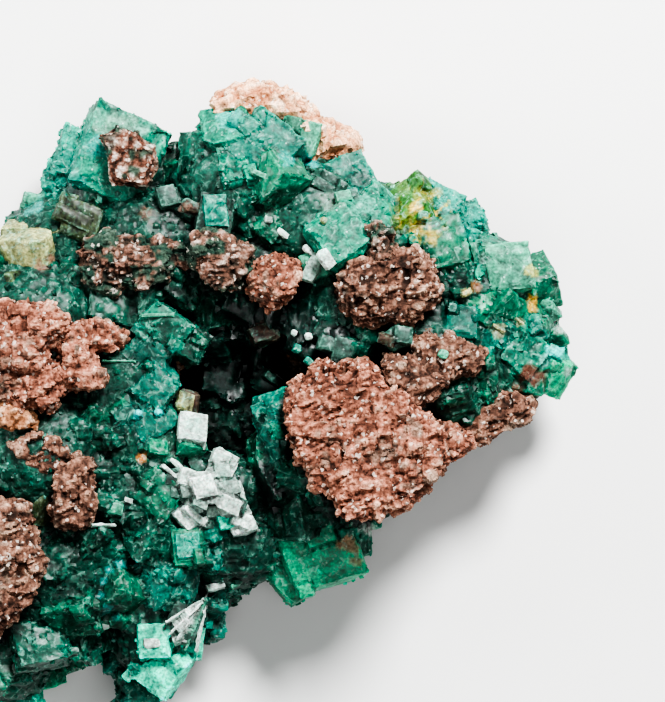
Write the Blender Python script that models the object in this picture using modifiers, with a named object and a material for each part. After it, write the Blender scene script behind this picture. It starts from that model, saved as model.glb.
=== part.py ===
# Dioptase: blocky green crystals grown together on a slab of host rock, with crusts of red ironstone.
# It lies on the flat break of its rock, crystals up: X runs right and Y up its face, and Z points out.

import math
import random

import bmesh
import bpy
from mathutils import Euler, Matrix, Vector, noise

mm = 0.001
tenth = 0.1 * mm

# Places on the face are in tenths of a millimetre, right and down from its upper left corner,
# and heights are in millimetres above the break. The frame's origin is this place, at height 0.
origin_right, origin_down = 220, 420

gap = 0.32 * mm  # clearance between one solid and the next
sharpest_step = 2.2  # the furthest that a sharp corner moves, in gaps, when a skin is moved out
weld = 0.002 * mm  # points nearer than this are made one

pyramid_lean = math.radians(51)  # from the long axis to the normal of a pyramid face
pyramid_turns = (0, 120, 240)
prism_turns = range(30, 390, 60)
waist = 0.82  # from the long axis to a bare rhombohedron's waist, in edges
misgrowth = (0.9, 1.12)  # how near or far a face of a natural crystal lies, against the ideal one
mass_share = 0.345  # of the joined crystals' facets, those that are kept

# Crystals of the mass: right, down, height of the centre, edge in mm, heading, lean and spin in
# degrees, and how near the prism's sides come, down from 1 for a bare rhombohedron. A lean of -51
# lays one face flat, and a heading of 45 squares it to X and Y.
crystals = [
    # upper left, round the peak
    (114, 156, 9.4, 8.6, 22, -47, 0, 0.84),
    (77, 152, 8.8, 4.4, 28, -44, 0, 1),
    (66, 177, 8.6, 3.8, 70, 30, 20, 0.75),
    (93, 190, 9.8, 4.4, 10, 20, 50, 1),
    (31, 206, 8.4, 2.5, 30, -51, 0, 1),
    (50, 216, 9.4, 3.2, 110, 35, 10, 1),
    (80, 223, 12.6, 3.7, 28, -51, 0, 1),
    (34, 252, 12.0, 5.6, 160, 62, 15, 0.72),
    (170, 201, 13.2, 2.1, 62, -51, 0, 1),
    (190, 211, 14.0, 1.8, 100, -40, 0, 1),
    (135, 212, 9.8, 5.2, 40, 18, 0, 0.80),
    (177, 175, 9.0, 4.4, 75, 24, 40, 1),
    (207, 158, 11.0, 4.6, 130, -35, 8, 1),
    # the dome under the crest
    (232, 139, 11.6, 5.2, 15, 28, 0, 0.80),
    (264, 154, 12.6, 6.4, 85, -38, 10, 0.82),
    (222, 128, 10.0, 3.2, 50, 40, 0, 1),
    (279, 179, 14.6, 5.2, 25, 12, 30, 0.76),
    (299, 141, 10.6, 3.8, 120, -51, 0, 1),
    (241, 175, 13.8, 4.2, 0, 40, 15, 1),
    (216, 190, 12.0, 3.8, 60, 20, 0, 1),
    (214, 217, 13.6, 4.1, 33, -48, 0, 1),
    (250, 207, 12.4, 4.6, 95, 22, 0, 1),
    (268, 228, 14.2, 2.7, 10, -40, 0, 1),
    # between the dome and the yellow shoulder
    (348, 184, 10.6, 4.9, 70, -30, 0, 1),
    (329, 189, 12.6, 3.0, 20, -51, 0, 1),
    (341, 209, 13.0, 3.4, 45, -44, 0, 1),
    (306, 197, 10.8, 3.8, 0, 15, 0, 1),
    (342, 241, 14.6, 6.2, 80, -34, 5, 0.78),
    (372, 214, 13.2, 4.4, 140, 30, 0, 1),
    (313, 266, 14.6, 2.8, 65, -56, 0, 1),
    (303, 240, 12.6, 3.2, 20, 10, 0, 1),
    # the yellow shoulder and the pale face on the right
    (410, 219, 10.8, 6.0, 35, 30, 0, 0.78),
    (437, 214, 10.2, 5.0, 100, -25, 0, 1),
    (441, 246, 11.6, 5.4, 60, -42, 0, 0.80),
    (402, 246, 12.2, 4.0, 10, 25, 0, 1),
    (469, 224, 8.8, 3.4, 20, 35, 0, 1),
    (478, 256, 10.6, 4.2, 75, 28, 0, 1),
    (507, 270, 11.0, 5.2, 52, -50, 0, 1),
    (500, 302, 10.8, 4.6, 50, 30, 0, 1),
    (537, 283, 9.0, 4.2, 20, 45, 0, 1),
    (545, 311, 8.2, 3.1, 80, -70, 0, 1),
    (534, 333, 9.2, 4.4, 30, 20, 0, 1),
    (473, 306, 11.8, 3.6, 110, -30, 0, 1),
    (459, 287, 12.2, 3.6, 15, 25, 0, 1),
    (494, 337, 11.6, 4.2, 70, 35, 0, 1),
    (518, 352, 10.8, 4.4, 5, -30, 0, 1),
    (549, 371, 8.6, 3.7, 60, 25, 0, 1),
    (548, 352, 9.2, 3.2, 90, 30, 0, 1),
    (527, 378, 9.8, 4.0, 35, -35, 0, 1),
    (487, 371, 12.0, 4.4, 100, 24, 0, 1),
    (457, 322, 13.4, 3.4, 40, -45, 0, 1),
    (452, 395, 13.0, 4.6, 15, 25, 0, 1),
    (488, 395, 11.4, 3.4, 70, -20, 0, 1),
    (395, 339, 16.3, 2.4, 82, -51, 0, 1),
    (422, 327, 12.8, 3.6, 0, 30, 0, 1),
    (364, 340, 12.8, 4.4, 60, 20, 0, 1),
    (334, 331, 13.2, 3.6, 110, -30, 0, 1),
    (344, 353, 14.4, 2.8, 30, -51, 0, 1),
    (308, 317, 12.0, 4.4, 80, 25, 0, 1),
    (303, 344, 12.8, 2.8, 10, -35, 0, 1),
    # rim and depth of the vug
    (274, 412, 12.6, 3.6, 20, 30, 0, 1),
    (284, 440, 13.2, 4.4, 90, 20, 0, 1),
    (268, 457, 11.8, 3.6, 45, -30, 0, 1),
    (302, 477, 13.8, 4.0, 0, 25, 0, 1),
    (282, 484, 12.4, 4.2, 70, -25, 0, 1),
    (302, 512, 11.8, 4.8, 100, 30, 0, 1),
    (264, 333, 11.6, 2.5, 68, -51, 0, 1),
    (222, 372, 4.6, 5.8, 35, -44, 0, 0.80),
    (254, 356, 5.4, 4.2, 80, 30, 0, 1),
    (210, 338, 8.4, 3.8, 5, 25, 0, 1),
    (266, 384, 6.8, 2.8, 15, -51, 0, 1),
    (232, 408, 3.8, 4.4, 110, 22, 0, 1),
    (240, 329, 8.8, 3.4, 50, -30, 0, 1),
    (205, 307, 10.8, 4.2, 95, 28, 0, 1),
    (241, 303, 11.0, 4.2, 20, -40, 0, 1),
    (276, 304, 11.6, 3.8, 75, 20, 0, 1),
    # stepped crystals left of the vug
    (164, 330, 13.6, 4.6, 98, -58, 0, 1),
    (188, 345, 12.8, 3.4, 15, -40, 0, 1),
    (146, 355, 13.4, 4.2, 95, -60, 0, 1),
    (118, 376, 13.6, 4.6, 85, -56, 0, 1),
    (155, 383, 13.8, 4.4, 92, -60, 0, 0.78),
    (114, 408, 13.0, 4.4, 40, 25, 0, 1),
    (150, 416, 13.4, 4.8, 80, -50, 0, 1),
    (162, 444, 13.0, 4.2, 20, -30, 0, 1),
    (188, 402, 12.0, 2.2, 30, -51, 0, 1),
    (192, 434, 14.0, 2.9, 39, -46, 0, 1),
    (130, 447, 13.0, 4.6, 110, 25, 0, 1),
    (95, 431, 12.6, 5.0, 0, 30, 0, 1),
    (58, 418, 12.6, 4.0, 60, 20, 0, 1),
    (103, 305, 12.2, 5.0, 35, -30, 0, 1),
    (148, 301, 12.2, 4.4, 80, 25, 0, 1),
    (180, 284, 11.8, 4.6, 15, -30, 0, 1),
    (20, 289, 11.6, 4.6, 100, 20, 0, 1),
    (72, 285, 12.0, 4.6, 50, 30, 0, 1),
    (20, 470, 12.8, 5.0, 25, -30, 0, 1),
    (44, 500, 12.6, 4.2, 70, 25, 0, 1),
    (110, 474, 12.8, 4.0, 0, 30, 0, 1),
    # lower middle: the bright mosaic, the teal slope and the pointed crystal
    (160, 493, 14.2, 4.0, 10, -50, 0, 1),
    (205, 485, 15.0, 3.1, 60, -51, 0, 1),
    (231, 500, 14.8, 3.1, 63, -50, 0, 1),
    (224, 464, 14.4, 2.7, 20, -49, 0, 1),
    (180, 481, 14.4, 2.6, 55, -46, 0, 1),
    (241, 520, 14.0, 2.7, 64, -50, 0, 1),
    (191, 516, 13.8, 2.7, 85, -44, 0, 1),
    (188, 548, 13.4, 3.6, 50, -46, 0, 1),
    (214, 545, 11.4, 4.6, 100, 20, 0, 1),
    (252, 541, 9.6, 4.8, 15, -30, 0, 1),
    (227, 569, 8.2, 4.4, 70, 25, 0, 1),
    (203, 594, 8.2, 4.2, 35, -25, 0, 1),
    (319, 556, 9.4, 6.9, 64, -51, 0, 1),
    (293, 582, 8.6, 4.0, 82, -51, 0, 1),
    (340, 534, 9.8, 4.6, 90, 25, 0, 1),
    (284, 533, 9.6, 4.2, 20, -20, 0, 1),
    (150, 535, 13.0, 4.8, 60, 28, 0, 1),
    (120, 503, 12.8, 4.6, 100, -30, 0, 1),
    (122, 591, 12.4, 4.8, 30, 6, 10, 0.72),
    (164, 582, 12.0, 4.8, 75, 25, 0, 1),
    (181, 622, 11.6, 3.6, 22, -48, 0, 1),
    (154, 642, 11.8, 3.4, 48, -50, 0, 1),
    (176, 643, 8.4, 3.8, 80, 30, 0, 1),
    (158, 668, 9.2, 5.2, 10, -62, 0, 0.80),
    (95, 546, 12.8, 4.6, 45, 25, 0, 1),
    (58, 561, 12.8, 5.2, 90, -30, 0, 0.80),
    (74, 604, 12.2, 5.0, 15, 25, 0, 1),
    (38, 643, 11.0, 5.6, 60, -35, 0, 0.80),
    (80, 640, 9.6, 3.8, 105, 25, 0, 1),
    # the side past the left edge, and the foot
    (-14, 268, 10.6, 5.2, 30, 25, 0, 0.80),
    (-46, 283, 9.4, 5.2, 85, -30, 0, 0.80),
    (-84, 309, 8.2, 5.2, 10, 28, 0, 0.80),
    (-108, 352, 7.8, 5.6, 55, -25, 0, 0.80),
    (-70, 345, 11.2, 5.4, 100, 20, 0, 0.82),
    (-62, 418, 12.6, 5.8, 35, -40, 0, 0.80),
    (-94, 402, 10.0, 5.2, 75, 25, 0, 0.80),
    (-118, 452, 7.2, 5.2, 0, 30, 0, 0.80),
    (-88, 468, 10.8, 5.6, 60, -30, 0, 0.80),
    (-48, 468, 13.0, 5.0, 105, 25, 0, 1),
    (-122, 512, 6.8, 5.0, 20, -35, 0, 1),
    (-88, 533, 10.0, 5.8, 80, 25, 0, 0.80),
    (-106, 580, 7.0, 4.6, 40, 30, 0, 1),
    (-72, 615, 8.2, 5.2, 95, -25, 0, 0.80),
    (-46, 655, 7.8, 4.8, 15, 28, 0, 1),
    (-8, 668, 9.6, 5.6, 70, -35, 0, 0.80),
    (10, 700, 7.2, 4.2, 30, 25, 0, 1),
    (134, 694, 7.0, 3.6, 50, -30, 0, 1),
]

# The massive dioptase that they grow from: right, down, height, then half widths along X, Y and Z in mm.
lobes = [
    (118, 175, 8.3, 5.2, 4.6, 5.2),
    (62, 238, 8.5, 6.4, 4.4, 5.4),
    (150, 238, 9.1, 7.2, 5.6, 6.0),
    (236, 186, 8.9, 7.4, 6.6, 6.6),
    (232, 262, 9.3, 7.2, 4.4, 5.6),
    (312, 222, 9.3, 7.4, 6.6, 6.2),
    (396, 232, 8.7, 7.2, 5.0, 5.4),
    (476, 290, 8.1, 6.6, 5.8, 5.4),
    (524, 348, 7.5, 4.0, 4.8, 4.2),
    (432, 352, 9.3, 7.0, 6.4, 6.2),
    (352, 302, 9.5, 7.0, 5.6, 6.2),
    (350, 428, 9.7, 6.8, 7.0, 7.0),
    (312, 508, 8.7, 6.2, 5.0, 5.4),
    (228, 546, 8.3, 6.4, 4.6, 5.4),
    (140, 488, 9.5, 7.0, 7.0, 6.2),
    (118, 388, 9.5, 6.0, 8.0, 6.2),
    (34, 330, 9.9, 8.0, 8.0, 7.0),
    (40, 448, 10.1, 8.2, 8.0, 6.8),
    (60, 566, 9.1, 7.6, 7.8, 6.2),
    (150, 622, 8.1, 4.4, 6.4, 5.0),
    (-60, 410, 9.3, 6.4, 11.0, 6.4),
    (-32, 572, 8.7, 7.6, 9.0, 6.0),
    (-2, 664, 7.5, 5.2, 4.6, 4.6),
    (228, 396, 3.2, 6.2, 7.6, 3.2),
    (216, 492, 9.2, 5.6, 4.2, 5.2),
]

# Crystals on the flank under the rim: the path that they follow, in the same places.
flank_path = [
    (66, 200), (28, 248), (-40, 288), (-92, 340), (-112, 402), (-118, 470), (-122, 548), (-88, 620),
    (-40, 676), (22, 690), (52, 652), (96, 650), (146, 676), (180, 628), (227, 576), (272, 540),
    (318, 562), (340, 518), (378, 476), (426, 436), (486, 402), (522, 366), (530, 318), (516, 280),
    (472, 246), (438, 210), (404, 210), (366, 210), (186, 174), (150, 156), (104, 152),
]  # fmt: skip
flank_spacing = 46
flank_height = (5.1, 6.8)
flank_edge = (3.8, 5.0)
flank_lean = (45, 80)
flank_swing = 25  # how far a heading turns from straight outwards, in degrees
crest_run = 150  # a longer run of the path is the crest, where bare rock shows

# Rocks: each is one or more blocks, given as an outline with the heights of its foot and top and the
# slope of its top along X and Y in degrees.
host_rock = [
    (
        [(58, 196), (92, 148), (150, 146), (186, 168), (212, 140), (300, 142), (346, 174), (380, 206),
         (440, 206), (484, 246), (512, 280), (522, 340), (494, 388), (432, 426), (384, 470), (346, 504),
         (338, 552), (292, 560), (264, 536), (208, 582), (168, 648), (150, 672), (110, 660), (70, 640),
         (40, 654), (14, 690), (-34, 676), (-78, 622), (-112, 560), (-116, 480), (-110, 400), (-88, 340),
         (-36, 292), (20, 246)],
        -2.0, 4.2, 0, 0,
    ),
    (
        [(208, 105), (222, 90), (241, 82), (262, 84), (280, 82), (295, 94), (308, 105), (328, 122),
         (352, 135), (364, 149), (352, 166), (334, 170), (312, 166), (298, 158), (286, 142), (262, 132),
         (234, 128), (211, 120)],
        3.0, 12.6, 0, 10,
    ),
    ([(224, 104), (262, 100), (300, 122), (346, 150), (336, 176), (296, 164), (250, 148)], 0.5, 9.0, 0, 0),
]  # fmt: skip

crusts = {
    "red_slab": [
        (
            [(325, 361), (340, 377), (352, 366), (366, 364), (378, 378), (388, 393), (404, 404),
             (424, 418), (434, 430), (441, 444), (437, 462), (424, 480), (411, 495), (398, 503),
             (383, 501), (372, 512), (357, 514), (343, 507), (336, 492), (322, 484), (316, 468),
             (301, 455), (291, 436), (289, 412), (290, 396), (303, 384), (312, 370)],
            15.2, 21.4, 4, -3,
        ),
        (
            [(436, 434), (448, 427), (462, 433), (467, 444),
             (457, 456), (444, 464), (430, 470)],
            11.0, 16.8, 8, -4,
        ),
    ],
    "red_ledge_centre": [
        (
            [(338, 286), (348, 270), (372, 262), (394, 256), (416, 257), (428, 268), (426, 280),
             (438, 289), (434, 301), (419, 309), (409, 322), (386, 320), (362, 323), (344, 314)],
            14.4, 18.6, 0, 8,
        ),
    ],
    "red_ledge_right": [
        (
            [(384, 362), (398, 356), (412, 360), (426, 368), (441, 372), (446, 384), (432, 392),
             (420, 401), (407, 408), (394, 403), (385, 391)],
            14.8, 19.6, 0, -6,
        ),
        (
            [(411, 341), (432, 334), (452, 338), (470, 345), (481, 357), (476, 367), (456, 373),
             (438, 375), (423, 366)],
            13.4, 17.8, 6, 4,
        ),
    ],
    "red_knob_right": [
        (
            [(478, 394), (495, 390), (510, 392), (524, 402), (529, 410), (515, 421), (500, 428),
             (482, 438), (468, 441), (462, 430), (464, 414), (470, 402)],
            8.6, 13.8, 10, 6,
        ),
    ],
    "red_block_upper": [
        (
            [(194, 243), (208, 237), (228, 240), (246, 246), (256, 250), (250, 262), (240, 276),
             (228, 292), (216, 284), (206, 268), (196, 256)],
            13.4, 18.2, -5, 8,
        ),
    ],
    "red_block_middle": [
        (
            [(250, 275), (262, 265), (280, 264), (296, 268), (297, 280), (288, 292), (277, 304),
             (268, 310), (258, 298), (249, 287)],
            13.0, 17.4, 6, 10,
        ),
    ],
    "speckled_crust": [
        (
            [(88, 246), (110, 237), (136, 239), (160, 243), (185, 250), (190, 262), (172, 275),
             (150, 285), (122, 290), (98, 285), (86, 268)],
            12.8, 16.2, 0, 8,
        ),
        (
            [(28, 262), (48, 255), (62, 262), (60, 282),
             (64, 296), (48, 305), (32, 300), (25, 282)],
            13.0, 16.8, 0, 5,
        ),
    ],
    "peak_crust": [
        (
            [(100, 137), (120, 130), (138, 135), (152, 150), (157, 172), (150, 189), (128, 191),
             (113, 178), (108, 160)],
            13.4, 16.2, 4, 8,
        ),
    ],
    "red_vein": [
        (
            [(370, 229), (380, 224), (389, 230), (391, 250),
             (387, 269), (374, 270), (369, 250)],
            15.6, 18.6, -8, 0,
        ),
    ],
    "red_mass_left": [
        (
            [(-45, 320), (-20, 306), (5, 305), (28, 306), (52, 312), (66, 322), (60, 340), (48, 352),
             (40, 368), (22, 384), (0, 392), (-25, 394), (-48, 375), (-55, 345)],
            14.6, 19.8, -3, 5,
        ),
        (
            [(58, 340), (78, 328), (100, 326), (122, 328),
             (131, 338), (118, 347), (94, 350), (70, 354)],
            14.4, 17.6, 0, 4,
        ),
        ([(66, 352), (84, 348), (100, 357), (105, 372), (94, 383), (78, 385), (66, 372)], 14.6, 18.4, 3, 0),
        (
            [(10, 376), (30, 366), (50, 360), (65, 372),
             (65, 392), (52, 407), (30, 404), (12, 394)],
            14.6, 18.8, 0, -4,
        ),
    ],
    "tan_block": [
        (
            [(-12, 399), (8, 397), (26, 407), (42, 415),
             (47, 423), (36, 428), (14, 424), (-4, 412)],
            14.4, 17.8, -6, -8,
        ),
    ],
    "red_blocks_lower_left": [
        (
            [(12, 436), (30, 432), (50, 430), (66, 444),
             (67, 460), (56, 471), (38, 468), (20, 452)],
            13.6, 17.2, 0, 0,
        ),
        (
            [(58, 468), (76, 457), (92, 462), (94, 478),
             (99, 500), (90, 520), (72, 526), (60, 512)],
            13.4, 18.2, 5, 0,
        ),
    ],
    "red_mass_lower_left": [
        (
            [(-60, 522), (-32, 500), (0, 497), (25, 502), (37, 516), (35, 540), (43, 565), (30, 592),
             (12, 616), (-14, 636), (-44, 622), (-62, 582)],
            13.2, 19.0, -6, -3,
        ),
    ],
    "red_block_far_left": [
        ([(-112, 420), (-96, 404), (-78, 410), (-72, 430), (-84, 450), (-104, 448)], 10.6, 15.4, -12, 0),
    ],
}  # fmt: skip


# How each kind of rock is broken: the step of its first mesh, the depth and size of its lumps, all in
# mm, and the share of its facets that are kept.
host_break = (2.1, 0.7, 5.0, 0.2)
crust_break = (0.6, 0.6, 2.4, 0.105)
host_seed, crust_seed = 3, 11
crystal_seed = 7


def place(right, down, height):
    """A point of the frame from a place on the face and its height."""
    return Vector(((right - origin_right) * tenth, (origin_down - down) * tenth, height * mm))


def material(name, colour, roughness):
    made = bpy.data.materials.new(name)
    made.use_nodes = True
    shader = made.node_tree.nodes["Principled BSDF"]
    shader.inputs["Base Color"].default_value = (*colour, 1)
    shader.inputs["Roughness"].default_value = roughness
    shader.inputs["Metallic"].default_value = 0
    return made


def add_object(name, mesh, collection):
    made = bpy.data.objects.new(name, mesh)
    collection.objects.link(made)
    return made


def helper_collection(name):
    """A collection for cutters and for what is joined, which isn't part of the object."""
    made = bpy.data.collections.new(name)
    bpy.context.scene.collection.children.link(made)
    made.hide_render = True
    return made


def add_helper(name, mesh, collection):
    made = add_object(name, mesh, collection)
    made.hide_render = True
    made.display_type = "WIRE"
    return made


def evaluated_mesh(obj):
    """The object's mesh with its modifiers applied."""
    graph = bpy.context.evaluated_depsgraph_get()
    return bpy.data.meshes.new_from_object(obj.evaluated_get(graph))


def crystal_mesh(name, edge, prism, shape):
    """A dioptase crystal at the origin, its long axis along Z: a cube cut by six pyramid faces and six
    prism faces, each a little nearer or further than the ideal one, as in nature."""
    mesh = bpy.data.meshes.new(name)
    build = bmesh.new()
    bmesh.ops.create_cube(build, size=4 * edge)
    cuts = []
    for turn in pyramid_turns:
        lean = Vector((math.sin(pyramid_lean), 0, math.cos(pyramid_lean)))
        lean.rotate(Euler((0, 0, math.radians(turn))))
        cuts += [(lean, edge / 2), (-lean, edge / 2)]
    if prism < 1:
        for turn in prism_turns:
            side = Vector((math.cos(math.radians(turn)), math.sin(math.radians(turn)), 0))
            cuts.append((side, edge * waist * prism))
    for normal, reach in cuts:
        reach *= shape.uniform(*misgrowth)
        bmesh.ops.bisect_plane(
            build,
            geom=build.verts[:] + build.edges[:] + build.faces[:],
            plane_co=normal * reach,
            plane_no=normal,
            clear_outer=True,
        )
        bmesh.ops.holes_fill(build, edges=[e for e in build.edges if e.is_boundary])
    build.to_mesh(mesh)
    build.free()
    return mesh


def set_crystal(name, row, collection, shape):
    """One crystal of the table, turned and put in its place."""
    right, down, height, edge, heading, lean, spin, prism = row
    mesh = crystal_mesh(name, edge * mm, prism, shape)
    turned = (
        Matrix.Rotation(math.radians(heading), 4, "Z")
        @ Matrix.Rotation(math.radians(lean), 4, "Y")
        @ Matrix.Rotation(math.radians(spin), 4, "Z")
    )
    mesh.transform(Matrix.Translation(place(right, down, height)) @ turned)
    return add_helper(name, mesh, collection)


def flank_rows(shape):
    """Crystals spaced along the flank's path, looking outwards and a little up."""
    rows = []
    ends = flank_path[1:] + flank_path[:1]
    for start, end in zip(flank_path, ends):
        run = Vector(end) - Vector(start)
        if run.length > crest_run:
            continue
        outward = math.degrees(math.atan2(run.x, run.y)) + 180
        steps = max(1, round(run.length / flank_spacing))
        for step in range(steps):
            spot = Vector(start) + run * (step + 0.5) / steps
            rows.append(
                (
                    spot.x,
                    spot.y,
                    shape.uniform(*flank_height),
                    shape.uniform(*flank_edge),
                    outward + shape.uniform(-flank_swing, flank_swing),
                    shape.uniform(*flank_lean),
                    shape.uniform(0, 60),
                    1,
                )
            )
    return rows


def lobe_mesh(name, row):
    """A rounded lobe of the massive dioptase."""
    right, down, height, *halves = row
    mesh = bpy.data.meshes.new(name)
    build = bmesh.new()
    bmesh.ops.create_icosphere(build, subdivisions=2, radius=1)
    size = Matrix.Diagonal((*[half * mm for half in halves], 1))
    where = Matrix.Translation(place(right, down, height))
    bmesh.ops.transform(build, matrix=where @ size, verts=build.verts)
    build.to_mesh(mesh)
    build.free()
    return mesh


def block_mesh(outline, low, high, slope_x, slope_y, chamfer=0.7 * mm):
    """A flat block from its outline, chamfered round the rim, with its top sloped."""
    curve = bpy.data.curves.new("outline", "CURVE")
    curve.dimensions = "2D"
    curve.fill_mode = "BOTH"
    curve.extrude = (high - low) * mm / 2 - chamfer
    curve.bevel_depth = chamfer
    curve.bevel_resolution = 0
    curve.offset = -chamfer
    spline = curve.splines.new("POLY")
    spline.points.add(len(outline) - 1)
    for point, (right, down) in zip(spline.points, outline):
        point.co = (*place(right, down, 0).xy, 0, 1)
    spline.use_cyclic_u = True
    carrier = bpy.data.objects.new("outline", curve)
    bpy.context.scene.collection.objects.link(carrier)
    mesh = evaluated_mesh(carrier)
    bpy.data.objects.remove(carrier)
    middle = sum((place(right, down, 0) for right, down in outline), Vector()) / len(outline)
    rise = Vector((math.tan(math.radians(slope_x)), math.tan(math.radians(slope_y)), 0))
    for vert in mesh.vertices:
        vert.co.z += (high + low) * mm / 2
        share = (vert.co.z / mm - low) / (high - low)
        vert.co.z += share * rise.dot(vert.co - middle)
    return mesh


def joined_mesh(meshes):
    """Several meshes as one, with each one's loose caps welded."""
    whole = bpy.data.meshes.new("joined")
    build = bmesh.new()
    for mesh in meshes:
        build.from_mesh(mesh)
    bmesh.ops.remove_doubles(build, verts=build.verts, dist=weld)
    bmesh.ops.recalc_face_normals(build, faces=build.faces)
    build.to_mesh(whole)
    build.free()
    return whole


def roughen(mesh, depth, grain, seed):
    """Moves the surface in and out like broken rock: lumps, with steps between its blocks."""
    shift = Vector((seed, 2.3 * seed, 0.7 * seed))
    far_apart = [Vector((5, 0, 0)), Vector((0, 5, 0)), Vector((0, 0, 5))]
    moves = []
    for vert in mesh.vertices:
        where = vert.co / grain + shift
        lumps = noise.noise(where) + 0.5 * noise.noise(2.1 * where)
        bend = Vector([noise.noise(where + apart) for apart in far_apart])
        steps = noise.cell(1.1 * where + 0.35 * bend)
        moves.append(vert.normal * depth * (0.8 * lumps + 0.5 * steps))
    for vert, move in zip(mesh.vertices, moves):
        vert.co += move


def rock_object(name, blocks, collection, how, seed, finish):
    """A rock made of its blocks, joined, roughened, and cut down to flat facets."""
    step, depth, grain, share = how
    rough = add_object(name, joined_mesh([block_mesh(*block) for block in blocks]), collection)
    remesh = rough.modifiers.new("remesh", "REMESH")
    remesh.mode = "VOXEL"
    remesh.voxel_size = step * mm
    rough.data = evaluated_mesh(rough)
    rough.modifiers.clear()
    roughen(rough.data, depth * mm, grain * mm, seed)
    facets = rough.modifiers.new("facets", "DECIMATE")
    facets.ratio = share
    facets.use_collapse_triangulate = True
    rough.data = evaluated_mesh(rough)
    rough.modifiers.clear()
    rough.data.materials.clear()
    rough.data.materials.append(finish)
    return rough


def flat_foot(obj):
    """Cuts the rock off level at height 0, where it rests."""
    build = bmesh.new()
    build.from_mesh(obj.data)
    bmesh.ops.bisect_plane(
        build,
        geom=build.verts[:] + build.edges[:] + build.faces[:],
        plane_co=(0, 0, 0),
        plane_no=(0, 0, -1),
        clear_outer=True,
    )
    bmesh.ops.holes_fill(build, edges=[e for e in build.edges if e.is_boundary])
    bmesh.ops.triangulate(build, faces=build.faces)
    build.to_mesh(obj.data)
    build.free()


def grown_mesh(obj):
    """The object's mesh with its skin moved out by the gap."""
    mesh = obj.data.copy()
    build = bmesh.new()
    build.from_mesh(mesh)
    build.normal_update()
    moves = [vert.normal * gap * min(vert.calc_shell_factor(), sharpest_step) for vert in build.verts]
    for vert, move in zip(build.verts, moves):
        vert.co += move
    build.to_mesh(mesh)
    build.free()
    return mesh


def cut(obj, cutter):
    """Takes the cutter's space out of the object."""
    boolean = obj.modifiers.new("cut", "BOOLEAN")
    boolean.operation = "DIFFERENCE"
    boolean.solver = "EXACT"
    boolean.use_self = True
    boolean.object = cutter
    obj.data = evaluated_mesh(obj)
    obj.modifiers.clear()


def boxes_meet(first, second):
    """Whether two objects' boxes come within the gap of each other."""
    for axis in range(3):
        ends = [[v.co[axis] for v in obj.data.vertices] for obj in (first, second)]
        if min(ends[0]) > max(ends[1]) + gap or min(ends[1]) > max(ends[0]) + gap:
            return False
    return True


def keep_largest(obj):
    """Drops the chips that a cut has left loose, and keeps the largest body."""
    build = bmesh.new()
    build.from_mesh(obj.data)
    bmesh.ops.triangulate(build, faces=build.faces)
    bmesh.ops.remove_doubles(build, verts=build.verts, dist=weld)
    bmesh.ops.dissolve_degenerate(build, dist=weld, edges=build.edges)
    bmesh.ops.triangulate(build, faces=build.faces)
    unseen = set(build.faces)
    bodies = []
    while unseen:
        body, rim = set(), [unseen.pop()]
        while rim:
            face = rim.pop()
            body.add(face)
            shared = [edge for edge in face.edges if len(edge.link_faces) == 2]
            near = {other for edge in shared for other in edge.link_faces} & unseen
            unseen -= near
            rim += near
        bodies.append(body)
    bodies.sort(key=lambda body: sum(face.calc_area() for face in body))
    for body in bodies[:-1]:
        bmesh.ops.delete(build, geom=list(body), context="FACES")
    build.to_mesh(obj.data)
    build.free()


def build_rocks(specimen, finishes):
    """The host rock and the crusts of ironstone, each clear of the others."""
    rock = rock_object("host_rock", host_rock, specimen, host_break, host_seed, finishes["rock"])
    flat_foot(rock)
    rocks = [rock]
    for number, (name, blocks) in enumerate(crusts.items()):
        finish = finishes["tan" if name == "tan_block" else "red"]
        crust = rock_object(name, blocks, specimen, crust_break, crust_seed + number, finish)
        for earlier in rocks:
            if boxes_meet(crust, earlier):
                cutter = bpy.data.objects.new("clearance", grown_mesh(earlier))
                bpy.context.scene.collection.objects.link(cutter)
                cut(crust, cutter)
                bpy.data.objects.remove(cutter)
        keep_largest(crust)
        rocks.append(crust)
    return rocks


def build_dioptase(specimen, rocks, finish):
    """The crystals and the massive lobes in one solid, with a bed cut in it for each rock."""
    shape = random.Random(crystal_seed)
    growths = helper_collection("growths")
    for number, row in enumerate(crystals + flank_rows(shape)):
        set_crystal(f"crystal_{number}", row, growths, shape)
    for number, row in enumerate(lobes[1:]):
        add_helper(f"lobe_{number}", lobe_mesh(f"lobe_{number}", row), growths)
    beds = helper_collection("beds")
    for rock in rocks:
        add_helper(f"bed_{rock.name}", grown_mesh(rock), beds)

    mass = add_object("dioptase", lobe_mesh("dioptase", lobes[0]), specimen)
    for operation, operands in (("UNION", growths), ("DIFFERENCE", beds)):
        boolean = mass.modifiers.new(operation.lower(), "BOOLEAN")
        boolean.operation = operation
        boolean.solver = "EXACT"
        boolean.use_self = operation == "DIFFERENCE"
        boolean.operand_type = "COLLECTION"
        boolean.collection = operands
        if operation == "UNION":
            facets = mass.modifiers.new("facets", "DECIMATE")
            facets.ratio = mass_share
            facets.use_collapse_triangulate = True
        mass.data = evaluated_mesh(mass)
        mass.modifiers.clear()
    keep_largest(mass)
    mass.data.materials.clear()
    mass.data.materials.append(finish)
    return mass


def main():
    for obj in list(bpy.data.objects):
        bpy.data.objects.remove(obj)
    specimen = bpy.data.collections.new("Dioptase specimen")
    bpy.context.scene.collection.children.link(specimen)
    finishes = {
        "dioptase": material("Dioptase green", (0.02, 0.22, 0.13), 0.3),
        "rock": material("Host rock", (0.62, 0.42, 0.32), 0.9),
        "red": material("Red ironstone", (0.36, 0.13, 0.09), 0.95),
        "tan": material("Tan ironstone", (0.55, 0.3, 0.17), 0.95),
    }
    rocks = build_rocks(specimen, finishes)
    build_dioptase(specimen, rocks, finishes["dioptase"])


main()
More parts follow.
